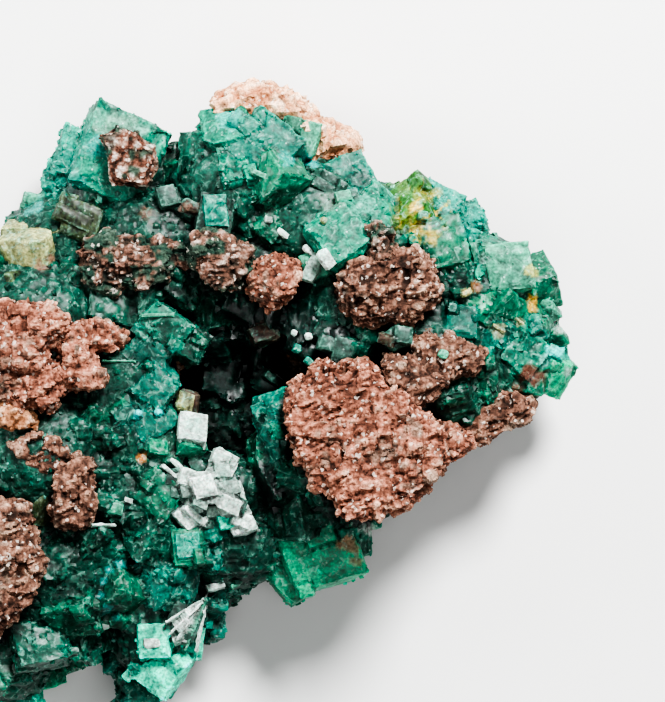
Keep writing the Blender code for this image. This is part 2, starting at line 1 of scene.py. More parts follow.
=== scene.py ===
# Dioptase specimen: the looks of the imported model, seen from straight above as it lies on its flat break.
# Lengths in this script are in mm until a mesh is made, and places on the face are in tenths of a mm.
import itertools
import math
import random

import bmesh
import bpy
import numpy as np
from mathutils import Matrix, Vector


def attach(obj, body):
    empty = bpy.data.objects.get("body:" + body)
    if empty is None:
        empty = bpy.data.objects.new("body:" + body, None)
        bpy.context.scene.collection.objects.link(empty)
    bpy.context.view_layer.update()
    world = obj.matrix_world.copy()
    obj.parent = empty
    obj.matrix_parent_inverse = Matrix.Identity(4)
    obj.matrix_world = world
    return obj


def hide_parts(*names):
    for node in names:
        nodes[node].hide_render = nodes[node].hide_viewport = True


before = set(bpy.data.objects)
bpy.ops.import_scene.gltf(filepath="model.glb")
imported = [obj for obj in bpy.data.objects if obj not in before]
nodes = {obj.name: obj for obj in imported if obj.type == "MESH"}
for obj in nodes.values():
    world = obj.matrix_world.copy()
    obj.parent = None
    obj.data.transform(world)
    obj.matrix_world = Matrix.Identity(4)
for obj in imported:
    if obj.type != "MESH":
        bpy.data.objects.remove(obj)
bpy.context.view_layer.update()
print("Frame loaded")

originRight, originDown = 220, 420  # the place on the face that is the frame's origin
metre = 0.001


def spot(right, down, height):
    return np.array(((right - originRight) / 10, (originDown - down) / 10, height), dtype=float)


def axisTurn(axis, degrees):
    cosine, sine = math.cos(math.radians(degrees)), math.sin(math.radians(degrees))
    if axis == "z":
        return np.array(((cosine, -sine, 0), (sine, cosine, 0), (0, 0, 1)))
    return np.array(((cosine, 0, sine), (0, 1, 0), (-sine, 0, cosine)))


def turnedBy(heading, lean, spin):
    return axisTurn("z", heading) @ axisTurn("y", lean) @ axisTurn("z", spin)


def smoothStep(values, low, high):
    part = np.clip((values - low) / (high - low), 0, 1)
    return part * part * (3 - 2 * part)


# Even random numbers from 0 to 1, one for each whole-numbered cell
def cellRandom(cells, seed):
    whole = cells.astype(np.int64)
    mixed = whole[:, 0] * 73856093 ^ whole[:, 1] * 19349663 ^ whole[:, 2] * 83492791 ^ (seed * 7919 + 13)
    mixed = (mixed ^ (mixed >> 13)) * 1274126177
    mixed = (mixed ^ (mixed >> 15)) * 2246822519
    return ((mixed ^ (mixed >> 16)) & 0xFFFFFF) / 0xFFFFFF


# Smooth noise from -1 to 1 with bumps about one size across
def softNoise(points, size, seed):
    scaled = points / size + 0.37 * seed
    corner = np.floor(scaled)
    part = scaled - corner
    part = part * part * (3 - 2 * part)
    total = np.zeros(len(points))
    for step in itertools.product((0, 1), repeat=3):
        share = np.prod(np.where(np.array(step), part, 1 - part), axis=1)
        total += share * cellRandom(corner + step, seed)
    return total * 2 - 1


# Noise of rounded bumps with creases between them
def creased(points, size, seed, gain=2.0, drop=0.6):
    return gain * np.abs(softNoise(points, size, seed)) - drop


def evaluatedMesh(obj):
    graph = bpy.context.evaluated_depsgraph_get()
    return bpy.data.meshes.new_from_object(obj.evaluated_get(graph))


def newObject(name, mesh):
    made = bpy.data.objects.new(name, mesh)
    bpy.context.scene.collection.objects.link(made)
    return made


def meshFrom(name, corners, faces):
    mesh = bpy.data.meshes.new(name)
    mesh.from_pydata((np.asarray(corners) * metre).tolist(), [], faces)
    mesh.update()
    return mesh


def readPoints(mesh):
    flat = np.empty(len(mesh.vertices) * 3, dtype=np.float32)
    mesh.vertices.foreach_get("co", flat)
    return flat.reshape(-1, 3).astype(float) / metre


def writePoints(mesh, points):
    mesh.vertices.foreach_set("co", (points * metre).astype(np.float32).ravel())
    mesh.update()


def readNormals(mesh):
    flat = np.empty(len(mesh.vertices) * 3, dtype=np.float32)
    mesh.vertex_normals.foreach_get("vector", flat)
    return flat.reshape(-1, 3).astype(float)


def paint(mesh, name, values):
    if values.ndim == 2:
        layer = mesh.attributes.new(name, "FLOAT_COLOR", "POINT")
        full = np.ones((len(values), 4), dtype=np.float32)
        full[:, :3] = np.clip(values, 0, 1)
        layer.data.foreach_set("color", full.ravel())
    else:
        layer = mesh.attributes.new(name, "FLOAT", "POINT")
        layer.data.foreach_set("value", values.astype(np.float32))


# One closed skin round everything in a mesh
def reskinned(name, mesh, voxel):
    carrier = newObject(name, mesh)
    skin = carrier.modifiers.new("skin", "REMESH")
    skin.mode = "VOXEL"
    skin.voxel_size = voxel * metre
    made = evaluatedMesh(carrier)
    carrier.modifiers.clear()
    carrier.data = made
    made.materials.clear()
    return carrier


def finishPiece(piece, slotName, *replaced):
    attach(piece, "root")
    if replaced:
        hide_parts(*replaced)


# Crystals
# A dioptase crystal's faces: three pairs that lean 51 degrees from its long axis, and six prism sides.
habit = {"lean": 51, "pyramid": (0, 120, 240), "prism": range(30, 390, 60), "waist": 0.82, "misgrowth": (0.9, 1.12)}

# Colour, frost from 0 for glassy to 1 for chalky, the depth of the steps on its faces, and how rugged they are
finishes = {
    # dark: the crystals' own deepest green, deepened further as painted shade, for most of them stand in the vug and
    # its crevices
    "dark": ((0.002, 0.022, 0.016), 0.15, 0.08, 0.16),
    "deep": ((0.003, 0.078, 0.048), 0.30, 0.10, 0.26),
    "green": ((0.004, 0.140, 0.076), 0.30, 0.08, 0.20),
    "emerald": ((0.008, 0.370, 0.190), 0.25, 0.05, 0.10),
    "teal": ((0.003, 0.140, 0.098), 0.45, 0.10, 0.22),
    "bright": ((0.004, 0.155, 0.096), 0.50, 0.08, 0.20),
    "turquoise": ((0.005, 0.195, 0.138), 0.75, 0.10, 0.26),
    "mint": ((0.030, 0.560, 0.370), 0.60, 0.07, 0.16),
    "pale": ((0.050, 0.235, 0.150), 0.50, 0.05, 0.12),
    # frost and silver: their pale colours are painted glare, standing for light off small flat faces
    "frost": ((0.450, 0.530, 0.480), 0.80, 0.06, 0.10),
    "silver": ((0.200, 0.270, 0.235), 0.60, 0.06, 0.10),
    "grey": ((0.026, 0.070, 0.053), 0.38, 0.05, 0.08),
    "olive": ((0.042, 0.060, 0.024), 0.40, 0.05, 0.10),
    "moss": ((0.030, 0.140, 0.022), 0.45, 0.08, 0.20),
    "straw": ((0.230, 0.240, 0.110), 0.60, 0.06, 0.12),
    "brown": ((0.050, 0.028, 0.018), 0.70, 0.08, 0.20),
    "lobe": ((0.003, 0.070, 0.044), 0.40, 0.10, 0.30),  # the massive dioptase that they grow from
}
plainCrystals = {  # places of those that show one clean form
    (114, 156), (232, 139), (264, 154), (342, 241), (507, 270), (319, 556), (279, 179), (410, 219), (122, 591),
    (192, 434), (80, 223), (34, 252), (441, 246), (214, 217), (293, 582), (500, 302), (537, 283),
}
linedFinishes = ("straw", "olive")
clearFinishes = ("dark", "deep", "green", "emerald", "teal")

# right, down, height of the centre, edge, heading, lean, spin, how near the prism's sides come, finish
crystals = [
    # upper left, round the peak
    (114, 156, 9.4, 8.6, 22, -47, 0, 0.84, "bright"),
    (77, 152, 8.8, 4.4, 28, -44, 0, 1, "turquoise"),
    (66, 177, 8.6, 3.8, 70, 30, 20, 0.75, "turquoise"),
    (93, 190, 9.8, 4.4, 10, 20, 50, 1, "deep"),
    (31, 206, 8.4, 2.5, 30, -51, 0, 1, "pale"),
    (50, 216, 9.4, 3.2, 110, 35, 10, 1, "olive"),
    (80, 223, 12.6, 3.7, 28, -51, 0, 1, "olive"),
    (34, 252, 12.0, 5.6, 160, 62, 15, 0.72, "straw"),
    (170, 201, 13.2, 2.1, 62, -51, 0, 1, "grey"),
    (190, 211, 14.0, 1.8, 100, -40, 0, 1, "grey"),
    (135, 212, 9.8, 5.2, 40, 18, 0, 0.80, "olive"),
    (177, 175, 9.0, 4.4, 75, 24, 40, 1, "green"),
    (207, 158, 11.0, 4.6, 130, -35, 8, 1, "deep"),
    # the dome under the crest
    (232, 139, 11.6, 5.2, 15, 28, 0, 0.80, "bright"),
    (264, 154, 12.6, 6.4, 85, -38, 10, 0.82, "teal"),
    (222, 128, 10.0, 3.2, 50, 40, 0, 1, "turquoise"),
    (279, 179, 14.6, 5.2, 25, 12, 30, 0.76, "green"),
    (299, 141, 10.6, 3.8, 120, -51, 0, 1, "pale"),
    (241, 175, 13.8, 4.2, 0, 40, 15, 1, "bright"),
    (216, 190, 12.0, 3.8, 60, 20, 0, 1, "dark"),
    (214, 217, 13.6, 4.1, 33, -48, 0, 1, "grey"),
    (250, 207, 12.4, 4.6, 95, 22, 0, 1, "deep"),
    (268, 228, 14.0, 2.7, 10, -40, 0, 1, "green"),
    # between the dome and the yellow shoulder
    (348, 184, 10.6, 4.9, 70, -30, 0, 1, "teal"),
    (329, 189, 12.6, 3.0, 20, -51, 0, 1, "grey"),
    (341, 209, 13.0, 3.4, 45, -44, 0, 1, "grey"),
    (306, 197, 10.8, 3.8, 0, 15, 0, 1, "deep"),
    (342, 241, 14.6, 6.2, 80, -34, 5, 0.72, "bright"),
    (372, 214, 13.0, 4.4, 140, 30, 0, 1, "bright"),
    (313, 266, 14.4, 2.6, 65, -56, 0, 1, "pale"),
    (303, 240, 12.6, 3.2, 20, 10, 0, 1, "grey"),
    # the yellow shoulder and the pale face on the right
    (410, 219, 10.8, 6.0, 35, 30, 0, 0.78, "moss"),
    (437, 214, 10.2, 5.0, 100, -25, 0, 1, "turquoise"),
    (441, 246, 11.6, 5.4, 60, -42, 0, 0.80, "green"),
    (402, 246, 12.2, 4.0, 10, 25, 0, 1, "bright"),
    (469, 224, 8.8, 3.4, 20, 35, 0, 1, "turquoise"),
    (478, 256, 10.6, 4.2, 75, 28, 0, 1, "bright"),
    (507, 270, 11.0, 5.2, 52, -50, 0, 1, "pale"),
    (500, 302, 10.8, 4.6, 50, 30, 0, 1, "green"),
    (537, 283, 9.0, 4.2, 20, 45, 0, 1, "green"),
    (545, 311, 8.2, 3.1, 80, -70, 0, 1, "pale"),
    (534, 333, 9.2, 4.4, 30, 20, 0, 1, "green"),
    (473, 306, 11.8, 3.6, 110, -30, 0, 1, "emerald"),
    (459, 287, 12.2, 3.6, 15, 25, 0, 1, "deep"),
    (494, 337, 11.6, 4.2, 70, 35, 0, 1, "teal"),
    (518, 352, 10.8, 4.4, 5, -30, 0, 1, "bright"),
    (549, 371, 8.6, 3.7, 60, 25, 0, 1, "emerald"),
    (548, 352, 9.2, 3.2, 90, 30, 0, 1, "turquoise"),
    (527, 378, 9.8, 4.0, 35, -35, 0, 0.8, "green"),
    (487, 371, 12.0, 4.4, 100, 24, 0, 1, "green"),
    (457, 322, 13.4, 3.4, 40, -45, 0, 1, "teal"),
    (452, 395, 13.0, 4.6, 15, 25, 0, 1, "deep"),
    (488, 395, 11.4, 3.4, 70, -20, 0, 1, "green"),
    (395, 339, 16.3, 2.4, 82, -51, 0, 1, "grey"),
    (422, 327, 12.8, 3.6, 0, 30, 0, 1, "deep"),
    (364, 340, 12.8, 4.4, 60, 20, 0, 1, "deep"),
    (334, 331, 13.2, 3.6, 110, -30, 0, 1, "dark"),
    (344, 353, 14.4, 2.8, 30, -51, 0, 1, "grey"),
    (308, 317, 12.0, 4.4, 80, 25, 0, 1, "dark"),
    (303, 344, 12.8, 2.8, 10, -35, 0, 1, "dark"),
    # rim and depth of the vug, where the dark finish is partly painted shade
    (276, 410, 12.4, 3.8, 20, 30, 0, 0.74, "teal"),
    (280, 436, 12.8, 4.6, 90, 20, 0, 0.74, "teal"),
    (266, 452, 11.8, 3.6, 45, -30, 0, 0.8, "green"),
    (302, 477, 13.8, 4.0, 0, 25, 0, 1, "deep"),
    (282, 484, 12.4, 4.2, 70, -25, 0, 1, "dark"),
    (302, 512, 11.8, 4.8, 100, 30, 0, 1, "deep"),
    (264, 333, 11.6, 2.5, 68, -51, 0, 1, "brown"),
    (222, 372, 4.6, 5.8, 35, -44, 0, 0.80, "dark"),
    (254, 356, 5.4, 4.2, 80, 30, 0, 1, "dark"),
    (210, 338, 8.4, 3.8, 5, 25, 0, 1, "dark"),
    (266, 384, 6.8, 2.8, 15, -51, 0, 1, "dark"),
    (232, 408, 3.8, 4.4, 110, 22, 0, 1, "dark"),
    (240, 329, 8.8, 3.4, 50, -30, 0, 1, "dark"),
    (205, 307, 10.8, 4.2, 95, 28, 0, 1, "deep"),
    (241, 303, 11.0, 4.2, 20, -40, 0, 1, "dark"),
    (276, 304, 11.6, 3.8, 75, 20, 0, 1, "dark"),
    # stepped crystals left of the vug
    (164, 330, 13.6, 4.6, 98, -58, 0, 1, "bright"),
    (188, 345, 12.8, 3.4, 15, -40, 0, 1, "deep"),
    (146, 355, 13.4, 4.2, 95, -60, 0, 1, "teal"),
    (118, 376, 13.6, 4.6, 85, -56, 0, 1, "deep"),
    (155, 383, 13.8, 4.4, 92, -60, 0, 0.78, "teal"),
    (114, 408, 13.0, 4.4, 40, 25, 0, 1, "green"),
    (150, 416, 13.4, 4.8, 80, -50, 0, 1, "teal"),
    (162, 444, 13.0, 4.2, 20, -30, 0, 1, "green"),
    (188, 402, 12.0, 2.2, 30, -51, 0, 1, "brown"),
    # its frost finish is painted glare off a flat face
    (192, 434, 14.0, 2.9, 39, -46, 0, 1, "frost"),
    (130, 447, 13.0, 4.6, 110, 25, 0, 1, "deep"),
    (95, 431, 12.6, 5.0, 0, 30, 0, 1, "deep"),
    (58, 418, 12.6, 4.0, 60, 20, 0, 1, "deep"),
    (103, 305, 12.2, 5.0, 35, -30, 0, 1, "deep"),
    (148, 301, 12.2, 4.4, 80, 25, 0, 1, "deep"),
    (180, 284, 11.8, 4.6, 15, -30, 0, 1, "deep"),
    (20, 289, 11.6, 4.6, 100, 20, 0, 1, "olive"),
    (72, 285, 12.0, 4.6, 50, 30, 0, 1, "deep"),
    (20, 470, 12.8, 5.0, 25, -30, 0, 1, "deep"),
    (44, 500, 12.6, 4.2, 70, 25, 0, 1, "olive"),
    (110, 474, 12.8, 4.0, 0, 30, 0, 1, "deep"),
    # lower middle: the bright mosaic, whose frost crystals are painted glare, the teal slope and the pointed crystal
    (160, 493, 14.2, 4.0, 10, -50, 0, 1, "green"),
    (205, 485, 15.0, 3.1, 60, -51, 0, 1, "frost"),
    (231, 500, 14.8, 3.1, 63, -50, 0, 1, "frost"),
    (224, 464, 14.4, 2.7, 20, -49, 0, 1, "frost"),
    (180, 481, 14.4, 2.6, 55, -46, 0, 1, "grey"),
    (241, 520, 14.0, 2.7, 64, -50, 0, 1, "frost"),
    (191, 516, 13.8, 2.7, 85, -44, 0, 1, "frost"),
    (188, 548, 13.4, 3.6, 50, -46, 0, 1, "green"),
    (214, 545, 11.4, 4.6, 100, 20, 0, 1, "teal"),
    (252, 541, 9.6, 4.8, 15, -30, 0, 1, "green"),
    (227, 569, 8.2, 4.4, 70, 25, 0, 1, "teal"),
    (203, 594, 8.2, 4.2, 35, -25, 0, 1, "teal"),
    (319, 556, 9.4, 7.1, 64, -51, 0, 1, "emerald"),
    (293, 582, 8.6, 4.0, 82, -51, 0, 1, "emerald"),
    (340, 534, 9.8, 4.6, 90, 25, 0, 1, "bright"),
    (284, 533, 9.6, 4.2, 20, -20, 0, 1, "deep"),
    (150, 535, 13.0, 4.8, 60, 28, 0, 1, "deep"),
    (120, 503, 12.8, 4.6, 100, -30, 0, 1, "deep"),
    (122, 591, 12.4, 4.8, 30, 6, 10, 0.72, "green"),
    (164, 582, 12.0, 4.8, 75, 25, 0, 1, "teal"),
    (181, 622, 11.6, 3.6, 22, -48, 0, 1, "grey"),
    (154, 642, 11.8, 3.4, 48, -50, 0, 1, "mint"),
    (176, 643, 8.4, 3.8, 80, 30, 0, 1, "mint"),
    (158, 668, 9.2, 5.2, 10, -62, 0, 0.80, "mint"),
    (95, 546, 12.8, 4.6, 45, 25, 0, 1, "deep"),
    (58, 561, 12.8, 5.2, 90, -30, 0, 0.80, "deep"),
    (74, 604, 12.2, 5.0, 15, 25, 0, 1, "green"),
    (38, 643, 11.0, 5.6, 60, -35, 0, 0.80, "deep"),
    (80, 640, 9.6, 3.8, 105, 25, 0, 1, "deep"),
    # the side past the left edge, and the foot
    (-14, 268, 10.6, 5.2, 30, 25, 0, 0.80, "green"),
    (-46, 283, 9.4, 5.2, 85, -30, 0, 0.80, "turquoise"),
    (-84, 309, 8.2, 5.2, 10, 28, 0, 0.80, "teal"),
    (-108, 352, 7.8, 5.6, 55, -25, 0, 0.80, "bright"),
    (-70, 345, 11.2, 5.4, 100, 20, 0, 0.82, "deep"),
    (-62, 418, 12.6, 5.8, 35, -40, 0, 0.80, "green"),
    (-94, 402, 10.0, 5.2, 75, 25, 0, 0.80, "teal"),
    (-118, 452, 7.2, 5.2, 0, 30, 0, 0.80, "emerald"),
    (-88, 468, 10.8, 5.6, 60, -30, 0, 0.80, "deep"),
    (-48, 468, 13.0, 5.0, 105, 25, 0, 1, "olive"),
    (-122, 512, 6.8, 5.0, 20, -35, 0, 1, "bright"),
    (-88, 533, 10.0, 5.8, 80, 25, 0, 0.80, "teal"),
    (-106, 580, 7.0, 4.6, 40, 30, 0, 1, "green"),
    (-72, 615, 8.2, 5.2, 95, -25, 0, 0.80, "deep"),
    (-46, 655, 7.8, 4.8, 15, 28, 0, 1, "teal"),
    (-8, 668, 9.6, 5.6, 70, -35, 0, 0.80, "green"),
    (10, 700, 7.2, 4.2, 30, 25, 0, 1, "mint"),
    (134, 694, 7.0, 3.6, 50, -30, 0, 1, "teal"),
]

# The massive dioptase that they grow from: right, down, height, then half widths
lobes = [
    (118, 175, 8.3, 5.2, 4.6, 5.2),
    (62, 238, 8.5, 6.4, 4.4, 5.4),
    (150, 238, 9.1, 7.2, 5.6, 6.0),
    (236, 186, 8.9, 7.4, 6.6, 6.6),
    (232, 262, 9.3, 7.2, 4.4, 5.6),
    (312, 222, 9.3, 7.4, 6.6, 6.2),
    (396, 232, 8.7, 7.2, 5.0, 5.4),
    (476, 290, 8.1, 6.6, 5.8, 5.4),
    (524, 348, 7.5, 4.0, 4.8, 4.2),
    (432, 352, 9.3, 7.0, 6.4, 6.2),
    (352, 302, 9.5, 7.0, 5.6, 6.2),
    (350, 428, 9.7, 6.8, 7.0, 7.0),
    (312, 508, 8.7, 6.2, 5.0, 5.4),
    (228, 546, 8.3, 6.4, 4.6, 5.4),
    (140, 488, 9.5, 7.0, 7.0, 6.2),
    (118, 388, 9.5, 6.0, 8.0, 6.2),
    (34, 330, 9.9, 8.0, 8.0, 7.0),
    (40, 448, 10.1, 8.2, 8.0, 6.8),
    (60, 566, 9.1, 7.6, 7.8, 6.2),
    (150, 622, 8.1, 4.4, 6.4, 5.0),
    (-60, 410, 9.3, 6.4, 11.0, 6.4),
    (-32, 572, 8.7, 7.6, 9.0, 6.0),
    (-2, 664, 7.5, 5.2, 4.6, 4.6),
    (228, 396, 3.2, 6.2, 7.6, 3.2),
    (216, 492, 9.2, 5.6, 4.2, 5.2),
]

# Crystals on the flank under the rim follow this path
flankPath = [
    (66, 200), (28, 248), (-40, 288), (-92, 340), (-112, 402), (-118, 470), (-122, 548), (-88, 620),
    (-40, 676), (22, 690), (52, 652), (96, 650), (146, 676), (180, 628), (227, 576), (272, 540),
    (318, 562), (340, 518), (378, 476), (426, 436), (486, 402), (522, 366), (530, 318), (516, 280),
    (472, 246), (438, 210), (404, 210), (366, 210), (186, 174), (150, 156), (104, 152),
]
flank = {
    "spacing": 46, "height": (5.1, 6.8), "edge": (3.8, 5.0), "lean": (45, 80), "swing": 25, "crestRun": 150,
    "finishes": ("teal", "bright", "turquoise", "green", "emerald", "deep"),
}

growth = {
    "seed": 7,
    "voxel": {"clear": 0.27, "frosted": 0.23, "open": 0.17},
    "blocksPerMm": 1.6,  # smaller crystals grown on each one, for each mm of its edge
    "plainBlocks": 0.15,  # how many of those a plain crystal has
    "blockSize": (0.14, 0.42),  # their edges, against its own
    "tilt": 7,  # how far they lean from it, in degrees
    "stand": (-0.15, 0.22),  # how much of each stands proud
    "plate": (0.5, 1.4),  # size of the steps on a face
    "roundness": 0.24,  # how far from an edge the wear starts, against a crystal's own edge
    "seam": (0.30, 0.12, 0.6),  # width, depth, and the painted shade where two crystals meet
    "wear": (0.08, 0.092),  # how much is worn off the edges, in mm and against a crystal's own edge
    "draw": (0.3, 0.5),  # how far the skin is drawn onto the true faces, and the share of that on a lobe
    "lobeSize": 3.0,  # the edge that a lobe is worn as if it had
    "plainRugged": 0.75,  # how rugged a plain crystal is against others of its finish
    "wander": (0.25, 1.3),  # how much the steps wander, and over what length
    "bumps": (0.8, 0.55, 0.35, 0.45),  # shares of steps, broad bumps, coarse bumps and rounded ones
    "fine": (0.015, 0.045),  # depth of fine bumps on a glassy face, and what a chalky one adds
    "lighterShare": 0.14,  # how many of the smaller crystals are lighter than the one they grow on
    "ground": 0.05,  # how near the floor a crystal may come
}
lighterFinish = {"deep": "green", "green": "teal", "teal": "bright", "dark": "deep", "bright": "turquoise"}
faceNoises = ((1.1, 21), (0.45, 22), (2.3, 23))  # sizes and seeds of the coarse, fine and broad bumps
pieceColumns = {  # the pieces that the crystals are joined into, from left to right
    "clear": {"left": (-999, 40), "middle": (40, 180), "vug": (180, 310), "right": (310, 430), "tip": (430, 999)},
    "frosted": {"left": (-999, 200), "right": (200, 999)},
}


def flankRows(shape):
    rows = []
    for start, end in zip(flankPath, flankPath[1:] + flankPath[:1]):
        run = Vector(end) - Vector(start)
        if run.length > flank["crestRun"]:
            continue
        outward = math.degrees(math.atan2(run.x, run.y)) + 180
        steps = max(1, round(run.length / flank["spacing"]))
        for step in range(steps):
            place = Vector(start) + run * (step + 0.5) / steps
            rows.append((
                place.x, place.y, shape.uniform(*flank["height"]), shape.uniform(*flank["edge"]),
                outward + shape.uniform(-flank["swing"], flank["swing"]), shape.uniform(*flank["lean"]),
                shape.uniform(0, 60), 1, flank["finishes"][len(rows) * 5 % len(flank["finishes"])],
            ))
    return rows


# The planes of a crystal at the origin: normals, and how far out each one lies
def crystalPlanes(edges, prism, shape):
    lean = math.radians(habit["lean"])
    normals, reaches = [], []
    for turn, edge in zip(habit["pyramid"], edges):
        normal = axisTurn("z", turn) @ np.array((math.sin(lean), 0, math.cos(lean)))
        normals += [normal, -normal]
        reaches += [edge / 2, edge / 2]
    if prism < 1:
        for turn in habit["prism"]:
            normals.append(np.array((math.cos(math.radians(turn)), math.sin(math.radians(turn)), 0)))
            reaches.append(edges[0] * habit["waist"] * prism)
    reaches = [reach * shape.uniform(*habit["misgrowth"]) for reach in reaches]
    return np.array(normals), np.array(reaches)


# The solid inside a set of planes: its corners, and its faces turned outwards
def solidInside(normals, reaches):
    triples = np.array(list(itertools.combinations(range(len(normals)), 3)))
    meets = np.abs(np.linalg.det(normals[triples])) > 1e-3
    triples = triples[meets]
    corners = np.linalg.solve(normals[triples], reaches[triples][..., None])[..., 0]
    corners = corners[(corners @ normals.T <= reaches + 1e-6).all(axis=1)]
    kept = np.unique(np.round(corners, 5), axis=0, return_index=True)[1]
    corners = corners[kept]
    faces = []
    for normal, reach in zip(normals, reaches):
        on = np.nonzero(np.abs(corners @ normal - reach) < 1e-4)[0]
        if len(on) < 3:
            continue
        middle = corners[on].mean(axis=0)
        across = corners[on[0]] - middle
        across = across / np.linalg.norm(across)
        up = np.cross(normal, across)
        angles = np.arctan2((corners[on] - middle) @ up, (corners[on] - middle) @ across)
        faces.append(on[np.argsort(angles)].tolist())
    return corners, faces


def growCrystal(centre, turn, edges, prism, finish, shape):
    normals, reaches = crystalPlanes(edges, prism, shape)
    corners, faces = solidInside(normals, reaches)
    return {
        "centre": centre, "normals": normals @ turn.T, "reaches": reaches, "corners": corners @ turn.T + centre,
        "faces": faces, "edge": max(edges), "finish": finish, "turn": turn,
        "radius": np.linalg.norm(corners, axis=1).max(),
    }


# Smaller crystals on a crystal's open faces, set nearly as it is
def grownOn(parent, shape):
    made = []
    upper = [number for number in range(6) if parent["normals"][number][2] > -0.25]
    count = growth["blocksPerMm"] * parent["edge"] * (growth["plainBlocks"] if parent["plain"] else 1)
    for _ in range(round(count)):
        number = shape.choice(upper)
        size = parent["edge"] * shape.uniform(*growth["blockSize"])
        sides = [side for side in (0, 2, 4) if side // 2 != number // 2]
        place = parent["centre"] + parent["normals"][number] * (
            parent["reaches"][number] + size * (shape.uniform(*growth["stand"]) - 0.5)
        )
        for side in sides:
            along = np.cross(parent["normals"][number], parent["normals"][side])
            place = place + along / np.linalg.norm(along) * parent["edge"] * shape.uniform(-0.5, 0.5)
        lean, spin = (shape.uniform(-1, 1) * growth["tilt"] for _ in range(2))
        turn = parent["turn"] @ turnedBy(0, lean, spin)
        edges = [size * shape.uniform(0.75, 1.3) for _ in range(3)]
        finish = parent["finish"]
        if shape.random() < growth["lighterShare"]:
            finish = lighterFinish.get(finish, finish)
        made.append(growCrystal(place, turn, edges, 1, finish, shape))
        made[-1]["plain"] = parent["plain"]
    return made


def allCrystals():
    shape = random.Random(growth["seed"])
    rows = crystals + flankRows(shape)
    parents = []
    for right, down, height, edge, heading, lean, spin, prism, finish in rows:
        turn = turnedBy(heading, lean, spin)
        parents.append(growCrystal(spot(right, down, height), turn, (edge,) * 3, prism, finish, shape))
        parents[-1]["plain"] = (right, down) in plainCrystals
    small = random.Random(growth["seed"] + 1)
    for parent in parents:
        parent["family"] = [parent] + grownOn(parent, small)
    return parents


def lobeMesh(row):
    right, down, height, *halves = row
    build = bmesh.new()
    bmesh.ops.create_icosphere(build, subdivisions=3, radius=1)
    corners = np.array([vert.co[:] for vert in build.verts]) * halves + spot(right, down, height)
    faces = [[vert.index for vert in face.verts] for face in build.faces]
    build.free()
    return corners, faces


# For each point, the nearest crystal face: how far out it is, its normal as it is and rounded at the edges,
# its crystal, how near the next face is, and the next crystal
def nearestFaces(points, bodies, rounds):
    farOut, farIn = 99.0, 9.0  # where there is no face, or no edge
    best = np.full(len(points), farOut)
    second = np.full(len(points), farOut)
    normal = np.zeros_like(points)
    softer = np.zeros_like(points)
    owner = np.full(len(points), -1)
    corner = np.full(len(points), farIn)
    for number, body in enumerate(bodies):
        away = points - body["centre"]
        near = np.nonzero(np.einsum("ij,ij->i", away, away) < (body["radius"] + 0.5) ** 2)[0]
        if not len(near):
            continue
        out = away[near] @ body["normals"].T - body["reaches"]
        order = np.sort(out, axis=1)
        face, nextFace = np.argsort(out, axis=1)[:, :-3:-1].T
        share = 0.5 - 0.5 * smoothStep((order[:, -1] - order[:, -2]) / body["edge"], 0, growth["roundness"])
        blend = body["normals"][face] * (1 - share)[:, None] + body["normals"][nextFace] * share[:, None]
        closer = order[:, -1] < best[near]
        second[near] = np.minimum(second[near], np.maximum(best[near], order[:, -1]))
        chosen = near[closer]
        best[chosen] = order[closer, -1]
        corner[chosen] = order[closer, -1] - order[closer, -2]
        normal[chosen] = body["normals"][face[closer]]
        softer[chosen] = blend[closer]
        owner[chosen] = number
    for row in rounds:
        right, down, height, *halves = row
        away = (points - spot(right, down, height)) / halves
        far = np.linalg.norm(away, axis=1)
        out = (far - 1) * min(halves)
        chosen = np.nonzero(out < best)[0]
        slope = away[chosen] / np.array(halves)
        best[chosen] = out[chosen]
        normal[chosen] = softer[chosen] = slope / np.linalg.norm(slope, axis=1)[:, None]
        owner[chosen] = -1
        corner[chosen] = farIn
    return best, normal, softer, owner, corner, second - best


